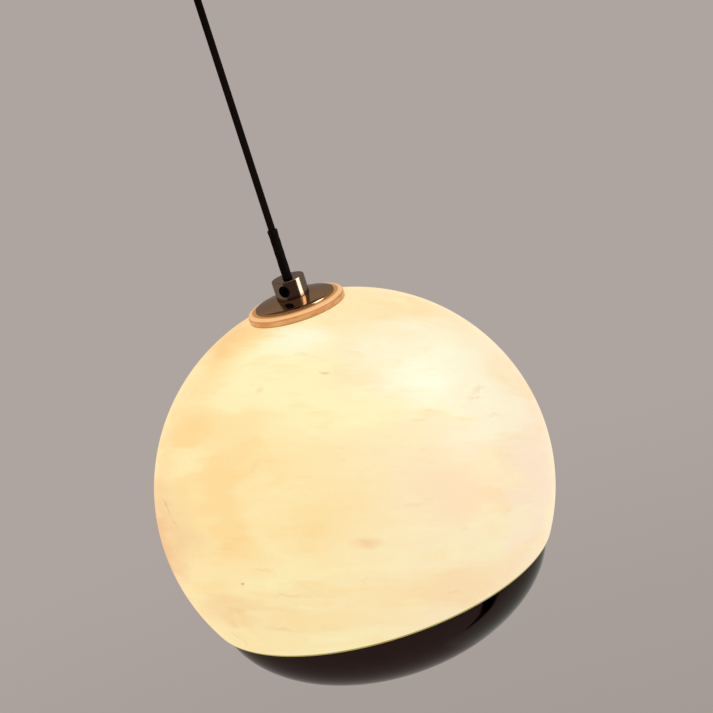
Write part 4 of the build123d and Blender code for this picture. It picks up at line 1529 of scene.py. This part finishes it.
@dataclass
class TopFitting:
    """The collar, the plate and the translucent ring on top of the stone.

    Attributes:
        bore: The radius of the hole through all three, for the tie tube.
        cord_hole: The radius of the cord's hole in the collar's roof.
        cord_edge: How far that hole's upper edge is broken.
        roof: The thickness of the collar's roof.
        top_round: The radius of the collar's upper edge.
        edge: How far the sharp lower edges are broken.
        screw_turn: How far the grub screw's hole is turned to the left of the front, in degrees.
        screw_radius: The radius of that hole.
        hole_flare: How much wider it gets.
        flare_depth: How deep below the collar's side it starts to widen.
        flare_rise: How far outside the collar's side it stops widening.
        cutter_rise: How far outside the collar's side the cutter ends.
        plate_edge: The plate's thickness at its edge.
        plate_round: The radius of its upper edge.
        dome_radius: The radius of its domed top.
        seat: The radius of the flat on which the collar stands.
        spigot: The radius of the ring's spigot in the stone.
        spigot_depth: How deep the spigot goes.
        ring_round: The radius of the ring's shoulder.
    """

    bore: float = 5.05
    cord_hole: float = 3.9
    cord_edge: float = 0.5
    roof: float = 2.8
    top_round: float = 0.8
    edge: float = 0.3
    screw_turn: float = 27.5
    screw_radius: float = 4.0
    hole_flare: float = 0.7
    flare_depth: float = 1.1
    flare_rise: float = 0.4
    cutter_rise: float = 3.0
    plate_edge: float = 1.8
    plate_round: float = 0.9
    dome_radius: float = 130.0
    seat: float = 12.6
    spigot: float = 15.7
    spigot_depth: float = 5.0
    ring_round: float = 2.8

    def build(self) -> None:
        """Make the three round pieces and finish the grub screw."""
        self.make_collar()
        self.make_plate()
        self.make_ring()
        finish_nodes(BLACK_OXIDE, "collar_grub_screw")

    def make_collar(self) -> None:
        """Turn the collar and cut its flared side hole."""
        size = extent("cord_collar")
        roof_low = size.high - self.roof
        shoulder = (size.radius - self.top_round, size.high - self.top_round)
        profile = [
            (self.bore, size.low), *softened_corner((size.radius, size.low), self.edge),
            *arc(shoulder, self.top_round, self.top_round, 0, 90, 8),
            (self.cord_hole + self.cord_edge, size.high), (self.cord_hole, size.high - self.cord_edge),
            (self.cord_hole, roof_low), (self.bore, roof_low),
        ]
        collar = turned("cord_collar_turned", divided(profile, 1.0), 256)
        flared = self.screw_radius + self.hole_flare
        reach = size.radius + self.cutter_rise
        hole = [
            (0, 0), (self.screw_radius, 0), (self.screw_radius, size.radius - self.flare_depth),
            (flared, size.radius + self.flare_rise), (flared, reach), (0, reach),
        ]
        turn = radians(self.screw_turn)
        outward = Vector((-sin(turn), -cos(turn), 0))
        facing = outward.to_track_quat("Z", "Y").to_matrix().to_4x4()
        placed = Matrix.Translation((0, 0, (size.low + size.high) / 2)) @ facing
        cut(collar, turned("hole", hole, 96, placed))
        dress(BLACK_NICKEL.paint(collar), "lamp", "cord_collar")

    def make_plate(self) -> None:
        """Turn the thin plate with its bright broken edges."""
        size = extent("top_plate")
        rim = size.low + self.plate_edge
        middle = size.high - sqrt(self.dome_radius ** 2 - self.seat ** 2)
        start = degrees(asin((rim - middle) / self.dome_radius))
        end = degrees(asin((size.high - middle) / self.dome_radius))
        dome = arc((0, middle), self.dome_radius, self.dome_radius, start, end, 16)
        shoulder = (size.radius - self.plate_round, rim - self.plate_round)
        # The rounded edge ends where the dome's slope goes on, in place of the dome's two outer points
        profile = [
            (self.bore, size.low), *softened_corner((size.radius, size.low), self.edge),
            *arc(shoulder, self.plate_round, self.plate_round, 0, 72, 8),
            *dome[2:], (self.bore, size.high),
        ]
        plate = turned("top_plate_turned", divided(profile, 1.0), 256)
        dress(BLACK_NICKEL_FLAT_PAINTED_REFLECTION.paint(plate), "lamp", "top_plate")

    def make_ring(self) -> None:
        """Mould the ring with its rounded top edge and its spigot in the stone's hole."""
        size = extent("top_gasket")
        seat = size.low + self.spigot_depth
        shoulder = (size.radius - self.ring_round, size.high - self.ring_round)
        profile = [
            (self.bore, size.low), (self.spigot, size.low), (self.spigot, seat), (size.radius, seat),
            *arc(shoulder, self.ring_round, self.ring_round, 0, 90, 10), (self.bore, size.high),
        ]
        ring = turned("top_ring_moulded", softened(profile, 0.3), 256)
        finish = LitSilicone("silicone_translucent_lit", radius=size.radius, low=seat, high=size.high)
        dress(finish.paint(ring), "lamp", "top_gasket")


@dataclass
class StoneGlobe:
    """The alabaster shell and the clamp that holds it.

    Attributes:
        half_height: Half the height that the whole globe would have.
        wall: The stone's thickness.
        top_wall: Its thickness under the ring.
        hole: The radius of its top hole.
        mouth_round: How far its edges are rounded.
        steps: How many rows of faces it has outside and inside.
    """

    half_height: float = 149.0
    wall: float = 9.0
    top_wall: float = 8.0
    hole: float = 16.0
    mouth_round: float = 1.2
    steps: int = 120

    def build(self) -> None:
        """Turn the stone and finish the clamp's pieces."""
        size = extent("alabaster_globe")
        seat = extent("top_gasket").radius
        centre = size.high - self.half_height * sqrt(1 - (seat / size.radius) ** 2)
        lower = degrees(asin((size.low - centre) / self.half_height))
        upper = degrees(asin((size.high - centre) / self.half_height))
        inner, inner_half = size.radius - self.wall, self.half_height - self.wall
        inner_lower = degrees(asin((size.low - centre) / inner_half))
        inner_upper = degrees(asin((size.high - self.top_wall - centre) / inner_half))
        profile = [
            *arc((0, centre), size.radius, self.half_height, lower, upper, self.steps),
            (self.hole, size.high),
            (self.hole, size.high - self.top_wall),
            *arc((0, centre), inner, inner_half, inner_upper, inner_lower, self.steps),
        ]
        stone = turned("alabaster_globe_polished", softened(profile, self.mouth_round), 288)
        finish = LitAlabaster("alabaster_polished_lit", radius=size.radius, centre=centre, mouth=size.low)
        dress(finish.paint(stone), "lamp", "alabaster_globe")
        finish_nodes(GASKET, "inner_gasket")
        finish_nodes(ZINC, "clamp_washer", "clamp_nut")
        finish_nodes(ZINC_THREADED, "tie_tube")


@dataclass
class LampCluster:
    """The hub with its lampholders and capsule lamps.

    Attributes:
        count: How many lampholders there are, with one lamp each.
    """

    count: int = 3

    def build(self) -> None:
        """Finish the hub, the wiring, the holders and the lamps."""
        finish_nodes(ALUMINIUM, "lampholder_hub", "hub_cover")
        finish_nodes(ZINC, "hub_nuts")
        finish_nodes(BRASS, "holder_nipples", "holder_contacts")
        finish_nodes(NYLON_WHITE, "crimp_connectors")
        finish_nodes(WIRE_WHITE, "tube_leads", "holder_leads")
        glass = FrostedGlass("glass_frosted_lit")
        for number in range(1, self.count + 1):
            finish_nodes(STEATITE, f"lampholder_{number}")
            finish_nodes(LAMP_PLASTIC, f"lamp_{number}_base")
            finish_nodes(glass, f"lamp_{number}_glass")
            finish_nodes(BOARD, f"lamp_{number}_led_stick")
            finish_nodes(COPPER, f"lamp_{number}_pins")


@dataclass
class ClosingBowl:
    """The spun bowl under the stone, its ring, seal, washer and nut.

    Attributes:
        depth_radius: The upright radius of the bowl's ellipse.
        centre_rise: How far above the rim that ellipse's centre is.
        wall: The sheet's thickness.
        hole: The radius of its hole for the tie tube.
        steps: How many rows of faces it has outside and inside.
        flutes: How many finger flutes the nut has.
        flute_steps: How many faces each flute has across it.
        flute_depth: How deep a flute is.
        flute_start: The level of the flutes' wave at which a flute starts.
        flute_blend: The height over which a flute runs out, above and below the nut's round edge.
        nut_round: The radius of the nut's lower edge.
        nut_floor: The thickness of its closed end.
        nut_bore: The radius of its bore.
    """

    depth_radius: float = 74.8
    centre_rise: float = 5.3
    wall: float = 1.5
    hole: float = 5.3
    steps: int = 96
    flutes: int = 24
    flute_steps: int = 16
    flute_depth: float = 0.9
    flute_start: float = 0.25
    flute_blend: float = 0.6
    nut_round: float = 2.5
    nut_floor: float = 1.6
    nut_bore: float = 5.1

    def build(self) -> None:
        """Make the bowl and the nut, and finish the rest."""
        self.make_bowl()
        self.make_nut()
        finish_nodes(SEAL, "mouth_gasket")
        finish_nodes(ZINC, "bowl_locating_ring")
        finish_nodes(NYLON_BLACK, "nut_washer")

    def make_bowl(self) -> None:
        """Spin the bowl's shell, with a rounded rim and a flat for the nut."""
        size = extent("metal_bowl")
        centre = size.high + self.centre_rise
        across = size.radius / sqrt(1 - (self.centre_rise / self.depth_radius) ** 2)
        inner, inner_depth = across - self.wall, self.depth_radius - self.wall
        rim = degrees(asin(-self.centre_rise / self.depth_radius))
        inner_rim = degrees(asin(-self.centre_rise / inner_depth))
        low = degrees(asin((size.low - centre) / self.depth_radius))
        inner_low = degrees(asin((size.low + self.wall - centre) / inner_depth))
        profile = [
            (self.hole, size.low),
            *arc((0, centre), across, self.depth_radius, low, rim, self.steps),
            *arc((0, centre), inner, inner_depth, inner_rim, inner_low, self.steps),
            (self.hole, size.low + self.wall),
        ]
        bowl = turned("metal_bowl_spun", softened(profile, 0.6), 288)
        dress(BLACK_NICKEL_SPUN.paint(bowl), "bowl", "metal_bowl")

    def make_nut(self) -> None:
        """Turn the nut, then press its finger flutes by a rule."""
        size = extent("bottom_nut")
        shoulder = (size.radius - self.nut_round, size.low + self.nut_round)
        profile = [
            (0, size.low), *arc(shoulder, self.nut_round, self.nut_round, -90, 0, 8),
            (size.radius, size.high), (self.nut_bore, size.high),
            (self.nut_bore, size.low + self.nut_floor), (0, size.low + self.nut_floor),
        ]
        blank = divided(softened(profile, 0.4), 0.8)
        nut = turned("bottom_nut_fluted", blank, self.flute_steps * self.flutes)
        program = GeometryProgram(
            "finger_flutes", Count=self.flutes, Depth=self.flute_depth * MM, Low=shoulder[1] * MM,
            Wall=shoulder[0] * MM,
        )
        tree = program.tree
        place = add(tree, "GeometryNodeInputPosition").outputs[0]
        parts = add(tree, "ShaderNodeSeparateXYZ", {0: place})
        turn = add(tree, "ShaderNodeMath", {
            0: parts.outputs["Y"], 1: parts.outputs["X"],
        }, operation="ARCTAN2")
        turns = add(tree, "ShaderNodeMath", {
            0: turn.outputs[0], 1: program.size("Count"),
        }, operation="MULTIPLY")
        wave = add(tree, "ShaderNodeMath", {0: turns.outputs[0]}, operation="COSINE")
        depth = add(tree, "ShaderNodeMapRange", {
            "Value": wave.outputs[0], "From Min": self.flute_start, "From Max": 1.0,
        }, interpolation_type="SMOOTHSTEP").outputs[0]
        rise = add(tree, "ShaderNodeMath", {
            0: parts.outputs["Z"], 1: program.size("Low"),
        }, operation="SUBTRACT")
        blend = self.flute_blend * MM
        above = add(tree, "ShaderNodeMapRange", {
            "Value": rise.outputs[0], "From Min": -blend, "From Max": blend,
        })
        level = add(tree, "ShaderNodeCombineXYZ", {"X": parts.outputs["X"], "Y": parts.outputs["Y"]})
        radius = add(tree, "ShaderNodeVectorMath", {0: level.outputs[0]}, operation="LENGTH")
        outside = add(tree, "ShaderNodeMath", {
            0: radius.outputs["Value"], 1: program.size("Wall"),
        }, operation="GREATER_THAN")
        for factor in (above.outputs[0], outside.outputs[0], program.size("Depth"), -1.0):
            depth = add(tree, "ShaderNodeMath", {0: depth, 1: factor}, operation="MULTIPLY").outputs[0]
        away = add(tree, "ShaderNodeVectorMath", {0: level.outputs[0]}, operation="NORMALIZE")
        shift = add(tree, "ShaderNodeVectorMath", {0: away.outputs[0], "Scale": depth}, operation="SCALE")
        moved = add(tree, "GeometryNodeSetPosition", {
            "Geometry": program.start.outputs["Geometry"], "Offset": shift.outputs[0],
        })
        program.end(moved.outputs[0], BLACK_NICKEL.material())
        dress(program.run(nut), "nut", "bottom_nut")


@dataclass
class CeilingCanopy:
    """The canopy cup at the ceiling with its bracket, terminals and cord grip.

    Attributes:
        wall: The cup's thickness.
        edge_round: The radius of its lower edge.
        stem_hole: The radius of its hole for the grip's stem.
    """

    wall: float = 1.5
    edge_round: float = 5.0
    stem_hole: float = 10.1

    def build(self) -> None:
        """Make the cup and the grip, and finish what is inside."""
        self.make_cup()
        finish_nodes(BLACK_NICKEL, "canopy_screws", "grip_body")
        finish_nodes(ZINC, "ceiling_bracket", "grip_locknut")
        finish_nodes(ZINC_THREADED, "grip_stem")
        finish_nodes(BRASS, "earth_screw")
        finish_nodes(ZINC, "terminal_screws", "block_screw")
        finish_nodes(NYLON_WHITE, "terminal_block")
        finish_nodes(NYLON_BLACK, "seat_cup")
        finish_nodes(SLEEVE, "cord_tail")
        finish_nodes(BROWN, "lead_live")
        finish_nodes(BLUE, "lead_neutral")
        finish_nodes(GREEN_YELLOW, "lead_earth")

    def make_cup(self) -> None:
        """Spin the cup, with a rounded lower edge and a hole for the grip's stem."""
        size = extent("canopy_cup")
        inner_round = self.edge_round - self.wall
        centre = (size.radius - self.edge_round, size.low + self.edge_round)
        profile = [
            (self.stem_hole, size.low),
            *arc(centre, self.edge_round, self.edge_round, -90, 0, 16),
            (size.radius, size.high), (size.radius - self.wall, size.high),
            *arc(centre, inner_round, inner_round, 0, -90, 16),
            (self.stem_hole, size.low + self.wall),
        ]
        cup = turned("canopy_cup_spun", divided(softened(profile, 0.4), 4.0), 256)
        dress(BLACK_NICKEL.paint(cup), "ceiling_mount", "canopy_cup")


def main() -> None:
    """Build the studio and every sub-assembly in order."""
    logging.basicConfig(level=logging.INFO, format="%(name)s %(message)s")
    Studio().build()
    CordSet().build()
    CeilingCanopy().build()
    TopFitting().build()
    StoneGlobe().build()
    LampCluster().build()
    ClosingBowl().build()


if __name__ == "__main__":
    main()
